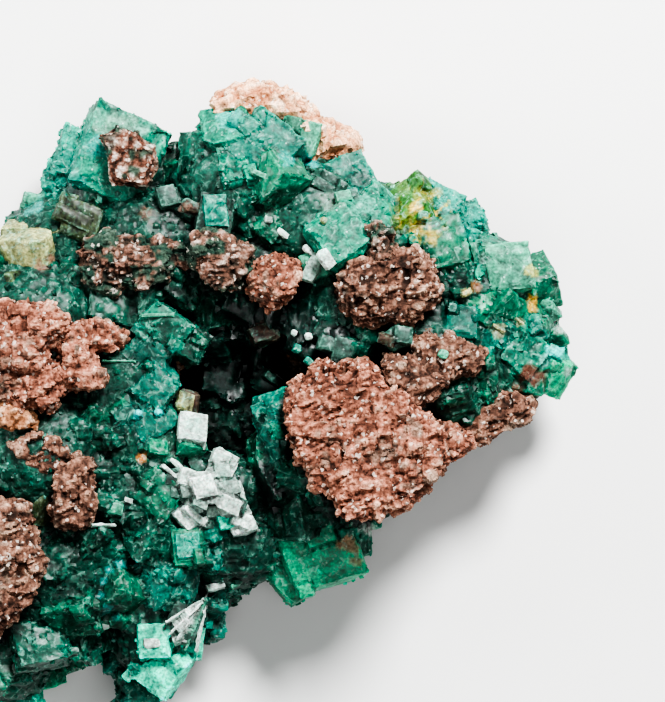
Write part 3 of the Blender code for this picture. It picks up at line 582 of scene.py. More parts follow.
# Spots of another mineral on the crystals: right, down, half width, colour, strength
stains = [
    (412, 208, 8, (0.62, 0.42, 0.10), 0.9),
    (404, 188, 7, (0.42, 0.42, 0.12), 0.6),
    (437, 192, 6, (0.46, 0.36, 0.07), 0.8),
    (418, 228, 7, (0.50, 0.38, 0.10), 0.8),
    (430, 240, 6, (0.52, 0.38, 0.08), 0.8),
    (534, 303, 8, (0.72, 0.46, 0.08), 1.0),
    (531, 272, 6, (0.50, 0.48, 0.12), 0.7),
    (475, 287, 5, (0.36, 0.14, 0.05), 0.7),
    (465, 293, 4, (0.75, 0.60, 0.25), 0.8),
    (498, 330, 8, (0.36, 0.32, 0.18), 0.6),
    (520, 322, 5, (0.42, 0.40, 0.22), 0.6),
    (532, 376, 12, (0.15, 0.055, 0.035), 0.95),
    (517, 390, 6, (0.24, 0.11, 0.07), 0.8),
    (556, 352, 9, (0.05, 0.62, 0.56), 0.9),
    (545, 360, 8, (0.14, 0.46, 0.38), 0.7),
    (348, 546, 9, (0.50, 0.30, 0.18), 0.8),
    (356, 560, 6, (0.46, 0.26, 0.16), 0.7),
    (212, 105, 6, (0.04, 0.55, 0.50), 0.9),
    (312, 163, 8, (0.06, 0.58, 0.52), 1.0),
    (100, 146, 9, (0.03, 0.46, 0.42), 0.8),
    (35, 208, 10, (0.03, 0.36, 0.31), 0.8),
    (72, 180, 14, (0.02, 0.26, 0.21), 0.7),
    (227, 119, 14, (0.05, 0.46, 0.38), 0.8),
    (140, 413, 4, (0.08, 0.66, 0.66), 1.0),
    (160, 412, 4, (0.08, 0.62, 0.60), 1.0),
    (144, 457, 4, (0.62, 0.26, 0.08), 0.9),
    (330, 205, 12, (0.16, 0.28, 0.21), 0.6),
    (362, 204, 12, (0.07, 0.35, 0.25), 0.7),
    (470, 225, 14, (0.03, 0.32, 0.25), 0.6),
    (448, 196, 14, (0.03, 0.36, 0.28), 0.6),
    (185, 209, 7, (0.18, 0.10, 0.07), 0.8),
    (150, 214, 9, (0.20, 0.12, 0.08), 0.7),
    (106, 128, 10, (0.16, 0.36, 0.26), 0.7),
    (146, 172, 8, (0.02, 0.20, 0.13), 0.7),
    (561, 330, 6, (0.40, 0.54, 0.46), 0.8),
    (570, 372, 5, (0.36, 0.54, 0.46), 0.7),
    (368, 528, 8, (0.60, 0.62, 0.58), 0.7),
    (98, 117, 9, (0.07, 0.32, 0.22), 0.8),
    (113, 121, 9, (0.14, 0.36, 0.25), 0.7),
    (128, 124, 9, (0.12, 0.30, 0.21), 0.7),
    (143, 131, 8, (0.12, 0.38, 0.28), 0.8),
    (92, 103, 6, (0.010, 0.110, 0.070), 0.9),
    (140, 112, 6, (0.006, 0.090, 0.055), 0.9),
    (120, 106, 7, (0.008, 0.110, 0.070), 0.8),
    (160, 128, 6, (0.006, 0.080, 0.050), 0.8),
    (122, 563, 5, (0.02, 0.36, 0.32), 0.9),
    (111, 570, 5, (0.02, 0.36, 0.32), 0.9),
    (104, 581, 5, (0.02, 0.36, 0.32), 0.9),
    (103, 594, 5, (0.02, 0.34, 0.30), 0.9),
    (108, 607, 5, (0.02, 0.32, 0.28), 0.8),
    (118, 617, 5, (0.02, 0.30, 0.26), 0.7),
    (137, 563, 5, (0.03, 0.44, 0.40), 0.9),
    (42, 268, 7, (0.30, 0.15, 0.10), 0.7),
    (52, 258, 5, (0.26, 0.13, 0.09), 0.7),
    (286, 416, 5, (0.16, 0.60, 0.48), 0.8),
    (296, 402, 5, (0.03, 0.44, 0.32), 0.7),
    (84, 136, 14, (0.010, 0.22, 0.155), 0.9),
    (68, 160, 15, (0.008, 0.20, 0.145), 0.9),
    (58, 186, 14, (0.008, 0.18, 0.130), 0.8),
    (98, 150, 12, (0.010, 0.26, 0.200), 0.8),
    (250, 132, 13, (0.05, 0.30, 0.22), 0.6),
    (276, 142, 12, (0.03, 0.26, 0.19), 0.6),
    (287, 162, 8, (0.02, 0.50, 0.42), 0.7),
    (238, 150, 10, (0.08, 0.34, 0.26), 0.5),
    (402, 182, 14, (0.06, 0.22, 0.06), 0.8),
    (422, 196, 12, (0.20, 0.24, 0.04), 0.8),
    (406, 222, 12, (0.16, 0.22, 0.03), 0.8),
    (440, 178, 11, (0.02, 0.36, 0.29), 0.8),
    (300, 420, 7, (0.10, 0.50, 0.42), 0.6),
    (282, 414, 9, (0.03, 0.40, 0.30), 0.6),
]

golden = {"place": (420, 216), "half": 36, "size": 1.0, "width": (0.03, 0.14), "colour": (0.46, 0.35, 0.05)}

tone = {
    "frost": (0.12, 0.52, 0.38),
    "frostShare": 0.42,
    "edgeHighlight": 0.75,  # how much the painted highlight lightens the crystals' edges
    "edgeHighlightColour": (0.006, 0.026, 0.019),  # and the colour of the painted highlight added there
    "edgeWidth": 0.22,
    "lineGap": 0.55,
    "lineDepth": 0.3,
    "hollowShade": 0.82,  # how much painted shade darkens the deep places
    "rockHollowShade": 0.6,  # and the share of that on rock
    "varied": (0.30, 0.30, 0.22, 0.45, 0.5),  # with place, coarse bumps, steps, crystal and rounded bumps
    "limits": (0.25, 2.0),
}


def paintStains(points, colour):
    for right, down, half, shade, strength in stains:
        away = np.linalg.norm(points[:, :2] - spot(right, down, 0)[:2], axis=1) * 10 / half
        away = away + 0.55 * softNoise(points, 0.9, right) + 0.35 * softNoise(points, 0.35, down)
        share = (1 - smoothStep(away, 0.75, 1.1)) * strength
        colour = colour * (1 - share[:, None]) + np.array(shade) * share[:, None]
    away = np.linalg.norm(points[:, :2] - spot(*golden["place"], 0)[:2], axis=1) * 10 / golden["half"]
    vein = 1 - smoothStep(np.abs(softNoise(points, golden["size"], 77)), *golden["width"])
    share = vein * (1 - smoothStep(away + 0.3 * softNoise(points, 1.5, 78), 0.65, 1.0))
    return colour * (1 - share[:, None]) + np.array(golden["colour"]) * share[:, None]


# How deep each point lies under the face around it, from 0 to 1, by maps of the heights near it and far round it
heightMap = {
    "cell": 0.4, "size": (200, 180), "low": (-40.0, -34.0), "reach": (6, 60), "depths": ((0.35, 3.2), (1.6, 7.5)),
    "roof": 2,
}


def mapCell(points):
    column = ((points[:, :2] - heightMap["low"]) / heightMap["cell"]).astype(int)
    return tuple(np.clip(column, 0, np.array(heightMap["size"]) - 1).T)


def hollowness(points, maps):
    bare = np.ones(len(points))
    for around, depth in zip(maps, heightMap["depths"]):
        bare *= 1 - smoothStep(around[mapCell(points)] - points[:, 2], *depth)
    return 1 - bare


druseShares = {  # how thickly tiny crystals stand on each
    "turquoise": 1.0, "bright": 0.7, "teal": 0.5, "mint": 0.35, "green": 0.35, "deep": 0.45, "lobe": 0.8, "moss": 0.5,
    "dark": 0.25, "emerald": 0.15,
}


druseOther = 0.05  # on crystals of the other finishes


# One closed skin round a group of crystals and lobes
def joinedSkin(name, bodies, rounds, voxel):
    corners, faces, count = [], [], 0
    for shell in [(body["corners"], body["faces"]) for body in bodies] + [lobeMesh(row) for row in rounds]:
        corners.append(shell[0])
        faces += [[index + count for index in face] for face in shell[1]]
        count += len(shell[0])
    return reskinned(name, meshFrom(name, np.concatenate(corners), faces), voxel)


def crystalMass(parents, kind, side, rounds):
    bodies = [body for parent in parents for body in parent["family"]]
    voxel = growth["voxel"]["open" if side == "open" else kind]
    piece = joinedSkin(f"{kind}_crystals_{side}", bodies, rounds, voxel)
    points = readPoints(piece.data)
    out, normal, softer, owner, corner, gap = nearestFaces(points, bodies, rounds)
    farthest, lobeShare = growth["draw"]
    drawn = np.clip(out, -farthest, farthest) * np.where(owner < 0, lobeShare, 1.0)
    points -= drawn[:, None] * normal

    def fromBody(valueOf, lobeValue):
        return np.array([valueOf(body) for body in bodies] + [lobeValue])[owner]

    base, frost, step, rugged = (
        fromBody(lambda body: finishes[body["finish"]][part], finishes["lobe"][part]) for part in range(4)
    )
    plain = fromBody(lambda body: float(body["plain"]), 0.0)
    size = fromBody(lambda body: body["edge"], growth["lobeSize"])
    axes = fromBody(lambda body: body["normals"][[0, 2, 4]], np.eye(3))
    number = np.arange(len(bodies) + 1)[owner]
    own = cellRandom(np.stack((number, number * 3, number * 7), axis=1), 5)

    # steps and bumps on the faces, worn edges, and seams between crystals
    least, most = growth["plate"]
    wander, wanderLength = growth["wander"]
    along = np.einsum("ijk,ik->ij", axes, points - farthest * normal)
    bend = wander * np.stack([softNoise(points, wanderLength, seed) for seed in (1, 2, 3)], axis=1)
    plates = cellRandom(np.floor(along / (least + (most - least) * own)[:, None] + bend), 11) * 2 - 1
    coarse, fine, broad = (softNoise(points, *noise) for noise in faceNoises)
    billow = creased(points, 0.8, 24)
    stepShare, broadShare, coarseShare, billowShare = growth["bumps"]
    rugged = rugged * (1 - (1 - growth["plainRugged"]) * plain)
    move = step * plates * stepShare
    move = move + rugged * (broadShare * broad + coarseShare * coarse + billowShare * billow)
    move = move + (growth["fine"][0] + growth["fine"][1] * frost) * fine
    worn = growth["wear"][0] + growth["wear"][1] * size
    move = move - worn * (1 - smoothStep(corner / size, 0.0, growth["roundness"])) * (0.65 + 0.5 * coarse)
    seamWidth, seamDepth, seamShade = growth["seam"]
    seam = (1 - smoothStep(gap, 0.0, seamWidth)) * np.where(owner < 0, 0, 1)
    points += (move - seamDepth * seam)[:, None] * softer
    points[:, 2] = np.maximum(points[:, 2], growth["ground"])
    writePoints(piece.data, points)

    # their colour, with cloudy patches, painted shade in the seams and painted highlights on the edges
    kinds = (softNoise(points, 3.2, 31), coarse, plates, own - 0.5, billow)
    shade = 1 + sum(share * part for share, part in zip(tone["varied"], kinds))
    lined = fromBody(lambda body: float(body["finish"] in linedFinishes), 0.0)
    shade = shade + tone["lineDepth"] * lined * np.sin(along[:, 1] * 2 * np.pi / tone["lineGap"])
    colour = base * np.clip(shade, *tone["limits"])[:, None]
    granules = smoothStep(softNoise(points, 0.5, 43) + 0.5 * softNoise(points, 0.3, 44) + 0.3 * broad, 0.25, 0.85)
    cloud = softNoise(points, 2.1, 41) + 0.6 * softNoise(points, 0.7, 42) + 0.4 * fine
    clouded = smoothStep(cloud, 0.35, 1.3) * tone["frostShare"] * (0.15 + frost)
    clouded = np.clip(clouded + granules * (0.03 + 0.30 * frost), 0, 0.7)
    lighter = np.array(tone["frost"]) * (0.25 + 0.45 * frost[:, None]) + base
    colour = colour + (lighter - colour) * clouded[:, None]
    # painted highlight along the crystals' edges, broken up by the coarse bumps
    edge = (1 - smoothStep(corner, 0.0, tone["edgeWidth"])) * (0.35 + 0.65 * smoothStep(coarse, -0.5, 0.6))
    # painted shade in the seams where two crystals meet
    colour = colour * (1 - seamShade * seam)[:, None]
    colour = colour * (1 + tone["edgeHighlight"] * edge)[:, None] + np.array(tone["edgeHighlightColour"]) * edge[:, None]
    paint(piece.data, "frost", np.clip(frost + 0.3 * clouded - 0.12 * (1 - clouded) * plates, 0, 1))

    # where tiny crystals stand: on faces that look up, and more of them low on the flanks
    druse = fromBody(lambda body: druseShares.get(body["finish"], druseOther), druseShares["lobe"])
    flankShare = 1 - smoothStep(points[:, 2], 7.0, 10.0)
    druse = (druse * (1 - 0.75 * plain) + 0.35 * flankShare) * smoothStep(coarse + 0.5 * broad, -0.5, 0.5)
    paint(piece.data, "druse", druse * smoothStep(normal[:, 2], -0.5, 0.1) * smoothStep(points[:, 2], 2.5, 4.0))
    return piece, points, paintStains(points, colour)


parents = allCrystals()
masses = []
for kind, columns in pieceColumns.items():
    chosen = [parent for parent in parents if (parent["finish"] in clearFinishes) == (kind == "clear")]
    for side, (low, high) in columns.items():
        here = [parent for parent in chosen if low <= parent["centre"][0] * 10 + originRight < high]
        rounds = [row for row in lobes if kind == "clear" and low <= row[0] < high]
        masses.append((*crystalMass(here, kind, side, rounds), kind))
        print(kind.capitalize(), "crystals,", side, len(masses[-1][0].data.polygons))

# Rocks
rock = {
    "voxel": 0.18,
    "spread": (0.36, 0.36, 0.14),  # how far the skin is moved out, to meet the crystals round it
    "lumps": (2.6, 0.16, 0.08),  # size, depth, and how much painted light it puts on its tops and painted shade in its hollows
    "blocks": (1.7, 0.36, 0.14),
    "ridges": (1.43, 0.26, 0.26),
    "grains": (0.62, 0.07, 0.24),
    "grit": (0.36, 0.07, 0.24),
    "sunk": 0.05,  # how far all of this lies inwards
    "headroom": 0.5,  # how far it may rise
    "thin": (0.45, 0.25),  # share of the depths on a streaked crust, and how far it is sunk
    "streaks": (1.1, 1.6),  # size and strength
    "host": {"voxel": 0.36, "spread": 0.3, "depth": 1.5, "fade": (0.05, 1.6)},  # the last is where it starts, in height
    "stops": (0.05, 0.38, 0.68, 1.05),
    "pits": 0.7,  # how dark the dark patches are
    "stained": 0.55,
    "stain": (0.13, 0.12, 0.095),
    "hostStain": (0.46, 0.22, 0.12),
    "glassy": (0.012, 0.060, 0.042),  # dioptase that shows through the thin crusts
    "glassyShare": 0.85,
}
rockColoursAndShade = {  # painted shade in the pits rising to painted light on the tops of the grains, in each rock's own hue
    "red": ((0.040, 0.015, 0.010), (0.205, 0.080, 0.051), (0.405, 0.182, 0.122), (0.600, 0.370, 0.270)),
    "russet": ((0.018, 0.010, 0.007), (0.112, 0.053, 0.036), (0.260, 0.134, 0.092), (0.450, 0.310, 0.230)),
    "tan": ((0.090, 0.034, 0.016), (0.320, 0.140, 0.070), (0.520, 0.280, 0.160), (0.680, 0.470, 0.340)),
    "dusky": ((0.010, 0.013, 0.010), (0.080, 0.050, 0.036), (0.235, 0.115, 0.080), (0.480, 0.390, 0.330)),
    "streaked": ((0.030, 0.016, 0.010), (0.170, 0.066, 0.042), (0.310, 0.200, 0.150), (0.640, 0.600, 0.530)),
    "host": ((0.260, 0.095, 0.050), (0.520, 0.240, 0.130), (0.770, 0.470, 0.300), (0.900, 0.730, 0.570)),
}
rockKinds = {
    "red_slab": "red", "red_ledge_centre": "russet", "red_ledge_right": "russet", "red_knob_right": "russet",
    "red_block_upper": "dusky", "red_block_middle": "red", "speckled_crust": "dusky", "peak_crust": "streaked",
    "red_vein": "dusky", "red_mass_left": "red", "tan_block": "tan", "red_blocks_lower_left": "russet",
    "red_mass_lower_left": "russet", "red_block_far_left": "russet", "host_rock": "host",
}
ridgeTurn = axisTurn("z", 24) * (1, 2.6, 1.6)  # ridges run across the face from lower left to upper right
streakTurn = axisTurn("z", -32) * (1, 3.2, 1)  # and streaks from upper left to lower right


def roughRock(nodeName, kind, seed):
    source = nodes[nodeName].data.copy()
    build = bmesh.new()
    build.from_mesh(source)
    bmesh.ops.remove_doubles(build, verts=build.verts, dist=0.000002)
    build.normal_update()
    for vert in build.verts:
        push = Vector(rock["spread"]) * metre * min(vert.calc_shell_factor(), 1.5)
        if kind == "host":
            push *= rock["host"]["spread"]
        vert.co += vert.normal * push
    build.to_mesh(source)
    build.free()
    piece = reskinned(f"rough_{nodeName}", source, (rock["host"] if kind == "host" else rock)["voxel"])
    points, normal = readPoints(piece.data), readNormals(piece.data)
    length = rock["lumps"][0]
    bend = 0.4 * np.stack([softNoise(points, 1.7, seed + extra) for extra in (2, 3, 4)], axis=1)
    layers = {
        "lumps": softNoise(points, length, seed) + 0.5 * softNoise(points, length / 2, seed + 1),
        "blocks": cellRandom(np.floor(points / rock["blocks"][0] + bend), seed) * 2 - 1,
        "ridges": creased(points @ ridgeTurn, rock["ridges"][0], seed + 9),
        "grains": creased(points, rock["grains"][0], seed + 5, 2.2, 0.7),
        "grit": creased(points, rock["grit"][0], seed + 6, 2.2, 0.7),
    }
    move = sum(rock[name][1] * layer for name, layer in layers.items()) - rock["sunk"]
    lowest, top = -np.inf, points[:, 2].max() + rock["headroom"]
    if kind == "streaked":
        move = rock["thin"][0] * move - rock["thin"][1]
    if kind == "host":
        move *= rock["host"]["depth"] * smoothStep(points[:, 2], *rock["host"]["fade"])
        lowest, top = 0, np.inf
    points += move[:, None] * normal
    points[:, 2] = np.clip(points[:, 2], lowest, top)
    writePoints(piece.data, points)
    paint(piece.data, "druse", np.where(normal[:, 2] > -0.4, 1.0, 0.0) * smoothStep(points[:, 2], 3.0, 5.0))

    if kind == "streaked":
        layers["ridges"] = rock["streaks"][1] * creased(points @ streakTurn, rock["streaks"][0], seed + 9)
    # painted light and shade: each point is coloured lighter the higher its lumps, blocks, ridges, grains and grit
    # stand
    height = 0.5 + sum(rock[name][2] * layer for name, layer in layers.items())
    stops = np.array(rockColoursAndShade[kind])
    colour = np.stack([np.interp(height, rock["stops"], stops[:, band]) for band in range(3)], axis=1)
    dark = smoothStep(softNoise(points, 0.6, seed + 7) + 0.4 * layers["lumps"], 0.55, 0.85)[:, None]
    colour = colour * (1 - rock["pits"] * dark)
    stain = smoothStep(softNoise(points, 2.8, seed + 8) + 0.5 * layers["grains"], 0.35, 0.9)[:, None]
    tint = np.array(rock["hostStain" if kind == "host" else "stain"])
    colour = colour * (1 - rock["stained"] * stain) + tint * rock["stained"] * stain
    if kind in ("dusky", "streaked"):
        patches = softNoise(points, 1.4, seed + 8) + 0.5 * softNoise(points, 0.6, seed + 4)
        glassy = rock["glassyShare"] * smoothStep(patches, 0.0, 0.3)[:, None]
        colour = colour * (1 - glassy) + np.array(rock["glassy"]) * (0.5 + height[:, None]) * glassy
    return piece, points, colour


rocks = []
for number, (nodeName, kind) in enumerate(rockKinds.items()):
    rocks.append((*roughRock(nodeName, kind, 60 + 10 * number), kind, nodeName))
    print("Rock,", nodeName, len(rocks[-1][0].data.polygons))

# A map of the heights round each place, and with it how deep each point lies
cellsAcross, cellsUp = heightMap["size"]
heights = np.full((cellsAcross, cellsUp), -9.0)
for entry in masses + rocks:
    np.maximum.at(heights, mapCell(entry[1]), entry[1][:, 2])
mapsAround = []
for reach in heightMap["reach"]:
    around = np.maximum(heights, 0)
    for _ in range(reach):
        for axis in (0, 1):
            around = (np.roll(around, 1, axis) + around + np.roll(around, -1, axis)) / 3
    mapsAround.append(around)
roof = heights.copy()
for _ in range(heightMap["roof"]):
    for axis in (0, 1):
        roof = np.minimum(np.minimum(np.roll(roof, 1, axis), np.roll(roof, -1, axis)), roof)
print("Height map made")


def topAt(right, down):
    across, up = mapCell(spot(right, down, 0)[None])
    return heights[across[0] - 1:across[0] + 2, up[0] - 1:up[0] + 2].mean()


# Removes the specks that thinning leaves of closed hollows inside
def dropSpecks(mesh, fewest):
    build = bmesh.new()
    build.from_mesh(mesh)
    seen, specks = set(), []
    for start in build.verts:
        if start in seen:
            continue
        seen.add(start)
        island = [start]
        for vert in island:  # it grows as it is walked
            for edge in vert.link_edges:
                other = edge.other_vert(vert)
                if other not in seen:
                    seen.add(other)
                    island.append(other)
        if len(island) < fewest:
            specks += island
    if specks:
        bmesh.ops.delete(build, geom=specks, context="VERTS")
        build.to_mesh(mesh)
    build.free()


# Fewer faces where others cover them
thinning = {"depth": 0.35, "share": 0.95, "factor": 40, "fewest": 12}  # the last is the vertices of the least part kept


def fewerHidden(piece, points):
    covered = points[:, 2] < roof[mapCell(points)] - thinning["depth"]
    weights = piece.vertex_groups.new(name="covered")
    weights.add(np.nonzero(covered)[0].tolist(), 1, "REPLACE")
    weights.add(np.nonzero(~covered)[0].tolist(), 0, "REPLACE")
    fewer = piece.modifiers.new("fewer", "DECIMATE")
    fewer.ratio = 1 - thinning["share"] * covered.mean()
    fewer.vertex_group = "covered"
    fewer.vertex_group_factor = thinning["factor"]
    made = evaluatedMesh(piece)
    piece.modifiers.clear()
    piece.vertex_groups.clear()
    dropSpecks(made, thinning["fewest"])
    kept = readPoints(made)
    kept[:, 2] = np.maximum(kept[:, 2], 0)
    writePoints(made, kept)
    piece.data = made


# Small crystals that lie open on the others, each flat side up: right, down, how far it stands above what
# it lies on, its two edges and its thickness, heading, tilt, and finish
chips = [
    # the bright mosaic below the vug, whose frost and silver chips are painted glare off flat faces
    (193, 427, 0.9, 2.7, 2.6, 2.2, 39, 4, "frost"), (193, 443, 0.2, 2.5, 1.9, 2.2, 42, 40, "green"),
    (221, 458, 0.9, 1.9, 1.7, 1.6, 20, 6, "frost"), (206, 484, 1.2, 2.4, 2.4, 1.6, 62, -4, "frost"),
    (222, 470, 0.8, 1.6, 1.5, 1.4, 48, 8, "silver"), (187, 477, 0.7, 1.6, 1.8, 1.4, 30, 14, "frost"),
    (229, 487, 0.9, 2.0, 1.7, 1.5, 66, 10, "silver"), (231, 503, 0.9, 2.7, 1.7, 1.4, 22, -6, "frost"),
    (213, 511, 0.6, 1.5, 1.2, 1.2, 55, 12, "silver"), (243, 518, 0.7, 2.0, 1.5, 1.3, 26, 6, "frost"),
    (193, 513, 0.8, 2.9, 0.9, 1.4, 4, 22, "frost"), (206, 521, 0.5, 1.6, 1.6, 1.2, 35, 20, "grey"),
    (226, 522, 0.5, 1.4, 1.3, 1.2, 58, 10, "mint"), (180, 493, 0.4, 1.9, 1.3, 1.2, 40, 18, "grey"),
    (198, 467, 0.5, 1.4, 1.5, 1.2, 70, 8, "grey"), (214, 497, 0.8, 1.3, 1.3, 1.2, 44, 2, "frost"),
    (241, 504, 0.4, 1.2, 1.4, 1.2, 20, 22, "grey"), (202, 500, 0.7, 1.5, 1.3, 1.2, 26, 6, "silver"),
    (172, 471, 0.4, 2.6, 0.5, 1.0, 8, 10, "frost"), (190, 490, 0.6, 1.5, 1.5, 1.2, 52, -8, "silver"),
    (181, 466, 0.4, 2.6, 0.5, 1.0, 6, -8, "frost"), (105, 524, 0.4, 2.6, 0.5, 0.8, 48, 10, "frost"),
    (130, 499, 0.4, 1.0, 0.6, 0.7, 30, 10, "frost"), (116, 506, 0.3, 2.0, 1.4, 1.0, 30, 14, "pale"),
    # rim of the vug and inside it
    (262, 334, 0.5, 2.3, 1.7, 1.8, 68, 8, "brown"), (294, 333, 0.4, 0.6, 0.6, 0.6, 20, 10, "frost"),
    (309, 337, 0.4, 0.7, 0.7, 0.6, 55, 14, "frost"), (297, 348, 0.4, 0.8, 0.8, 0.8, 30, 20, "turquoise"),
    (308, 361, 0.4, 0.8, 0.7, 0.7, 10, 20, "turquoise"), (271, 379, 0.4, 1.8, 0.9, 1.0, 12, 16, "grey"),
    (329, 345, 0.8, 2.1, 1.5, 1.4, 28, 14, "grey"), (401, 336, 0.7, 1.9, 1.8, 1.8, 40, 10, "grey"),
    (387, 340, 0.6, 1.8, 1.3, 1.6, 30, -24, "brown"), (184, 402, 0.5, 1.8, 2.1, 1.6, 30, 12, "straw"),
    # right of the dome; its frost chips are painted glints
    (323, 187, 0.5, 2.9, 1.3, 1.0, 18, 10, "grey"), (343, 198, 0.5, 1.7, 1.2, 1.0, 60, 16, "pale"),
    (324, 222, 0.8, 0.6, 0.6, 0.6, 20, 30, "straw"), (313, 268, 0.9, 3.3, 1.5, 1.2, 113, 10, "silver"),
    (326, 260, 1.0, 1.9, 1.2, 1.1, -6, 12, "frost"), (307, 250, 0.8, 0.9, 0.6, 0.8, 8, 10, "frost"),
    (261, 177, 0.4, 2.4, 0.7, 0.9, 24, 16, "pale"), (269, 221, 0.4, 0.9, 0.7, 1.0, 40, 10, "frost"),
    (283, 234, 0.4, 1.4, 0.6, 0.9, 12, 10, "frost"),
    # upper left
    (168, 198, 0.6, 2.0, 2.1, 1.6, 62, 10, "grey"), (193, 209, 0.6, 1.6, 1.2, 1.4, 35, 18, "brown"),
    (216, 213, 0.5, 2.5, 3.1, 1.8, 48, 6, "teal"), (73, 218, 0.5, 4.0, 1.8, 1.8, 22, 8, "olive"),
    # plates left of the vug
    (160, 316, 0.4, 3.4, 0.6, 0.9, 50, 12, "pale"), (150, 354, 0.5, 2.2, 0.6, 0.8, 42, 10, "frost"),
    (120, 361, 0.4, 3.6, 0.5, 0.8, 46, 10, "pale"), (176, 345, 0.4, 2.0, 1.3, 0.9, 16, 22, "bright"),
    (140, 413, 0.5, 0.7, 0.7, 0.7, 30, 20, "turquoise"), (160, 412, 0.5, 0.7, 0.7, 0.7, 50, 20, "turquoise"),
    (158, 448, 0.4, 1.9, 1.6, 1.2, 40, 20, "green"),
    # fan of blades, and the slab beside it; their frost finish is painted glare
    (184, 611, 0.9, 4.6, 0.5, 1.3, 80, 10, "frost"), (187, 617, 1.0, 5.0, 0.5, 1.3, 92, -8, "frost"),
    (191, 621, 0.8, 5.2, 0.4, 1.2, 103, 12, "frost"), (196, 624, 0.9, 5.2, 0.5, 1.3, 115, -10, "pale"),
    (201, 626, 0.8, 5.4, 0.4, 1.2, 127, 10, "frost"),
    (152, 642, 0.5, 1.7, 1.0, 1.0, 50, 8, "frost"), (180, 639, 0.5, 1.7, 1.1, 1.0, 70, 10, "frost"),
    (216, 587, 0.4, 2.0, 0.9, 1.0, 64, 14, "frost"), (237, 585, 0.4, 1.4, 0.5, 0.9, 78, 14, "pale"),
    (188, 545, 0.4, 2.4, 2.6, 1.6, 50, 8, "turquoise"),
    # the tip on the right
    (465, 293, 0.4, 1.2, 0.6, 0.7, 74, 14, "straw"), (498, 329, 0.4, 1.6, 0.4, 0.6, 16, 16, "straw"),
    (520, 322, 0.4, 1.6, 0.4, 0.6, 8, 14, "straw"), (441, 354, 0.5, 0.8, 0.8, 0.7, 20, 20, "pale"),
    (556, 352, 0.3, 1.6, 1.4, 1.0, 30, 20, "turquoise"), (422, 217, 0.4, 1.1, 1.0, 1.0, 40, 16, "pale"),
]
chipShape = random.Random(5)
chipBodies = []
for right, down, stand, along, across, thick, heading, tilt, finish in chips:
    centre = spot(right, down, topAt(right, down) + stand - thick / 2)
    turn = turnedBy(heading, tilt - habit["lean"], 0)
    body = growCrystal(centre, turn, (thick, along, across), 1, finish, chipShape)
    body["plain"], body["family"] = True, []
    body["family"] = [body]
    chipBodies.append(body)
masses.append((*crystalMass(chipBodies, "frosted", "open", []), "frosted"))
print("Open crystals", len(masses[-1][0].data.polygons))


# Materials
def addSocket(group, name, kind, where="INPUT", value=None):
    socket = group.interface.new_socket(name, in_out=where, socket_type=f"NodeSocket{kind}")
    if value is not None:
        socket.default_value = value


# A node with its inputs, each of them a value or the output that feeds it
def addNode(tree, kind, inputs=None, **settings):
    made = tree.nodes.new(kind)
    for key, value in settings.items():
        setattr(made, key, value)
    for key, value in (inputs or {}).items():
        if isinstance(value, bpy.types.NodeSocket):
            tree.links.new(value, made.inputs[key])
        else:
            made.inputs[key].default_value = value
    return made


def product(tree, first, second):
    return addNode(tree, "ShaderNodeMath", {0: first, 1: second}, operation="MULTIPLY").outputs[0]


def productPlus(tree, first, second, third):
    return addNode(tree, "ShaderNodeMath", {0: first, 1: second, 2: third}, operation="MULTIPLY_ADD").outputs[0]


def mapped(tree, value, low, high, newLow=0.0, newHigh=1.0):
    return addNode(tree, "ShaderNodeMapRange", {0: value, 1: low, 2: high, 3: newLow, 4: newHigh}).outputs[0]


def scaledVector(tree, vector, scale):
    return addNode(tree, "ShaderNodeVectorMath", {0: vector, "Scale": scale}, operation="SCALE").outputs[0]


def blended(tree, share, under, over):
    return addNode(tree, "ShaderNodeMix", {"Factor": share, "A": under, "B": over}, data_type="RGBA").outputs["Result"]


def colourPart(tree, colour, number):
    return addNode(tree, "ShaderNodeSeparateColor", {0: colour}).outputs[number]


# A group that takes a tint and some shares, and gives colour, roughness and height; its textures lie in the object
def surfaceGroup(name, shares):
    group = bpy.data.node_groups.new(name, "ShaderNodeTree")
    addSocket(group, "Tint", "Color")
    for share, value in shares.items():
        addSocket(group, share, "Float", value=value)
    for result, kind in (("Colour", "Color"), ("Roughness", "Float"), ("Height", "Float")):
        addSocket(group, result, kind, "OUTPUT")
    given = addNode(group, "NodeGroupInput").outputs
    place = addNode(group, "ShaderNodeTexCoord").outputs["Object"]
    return group, given, scaledVector(group, place, given["Fineness"])
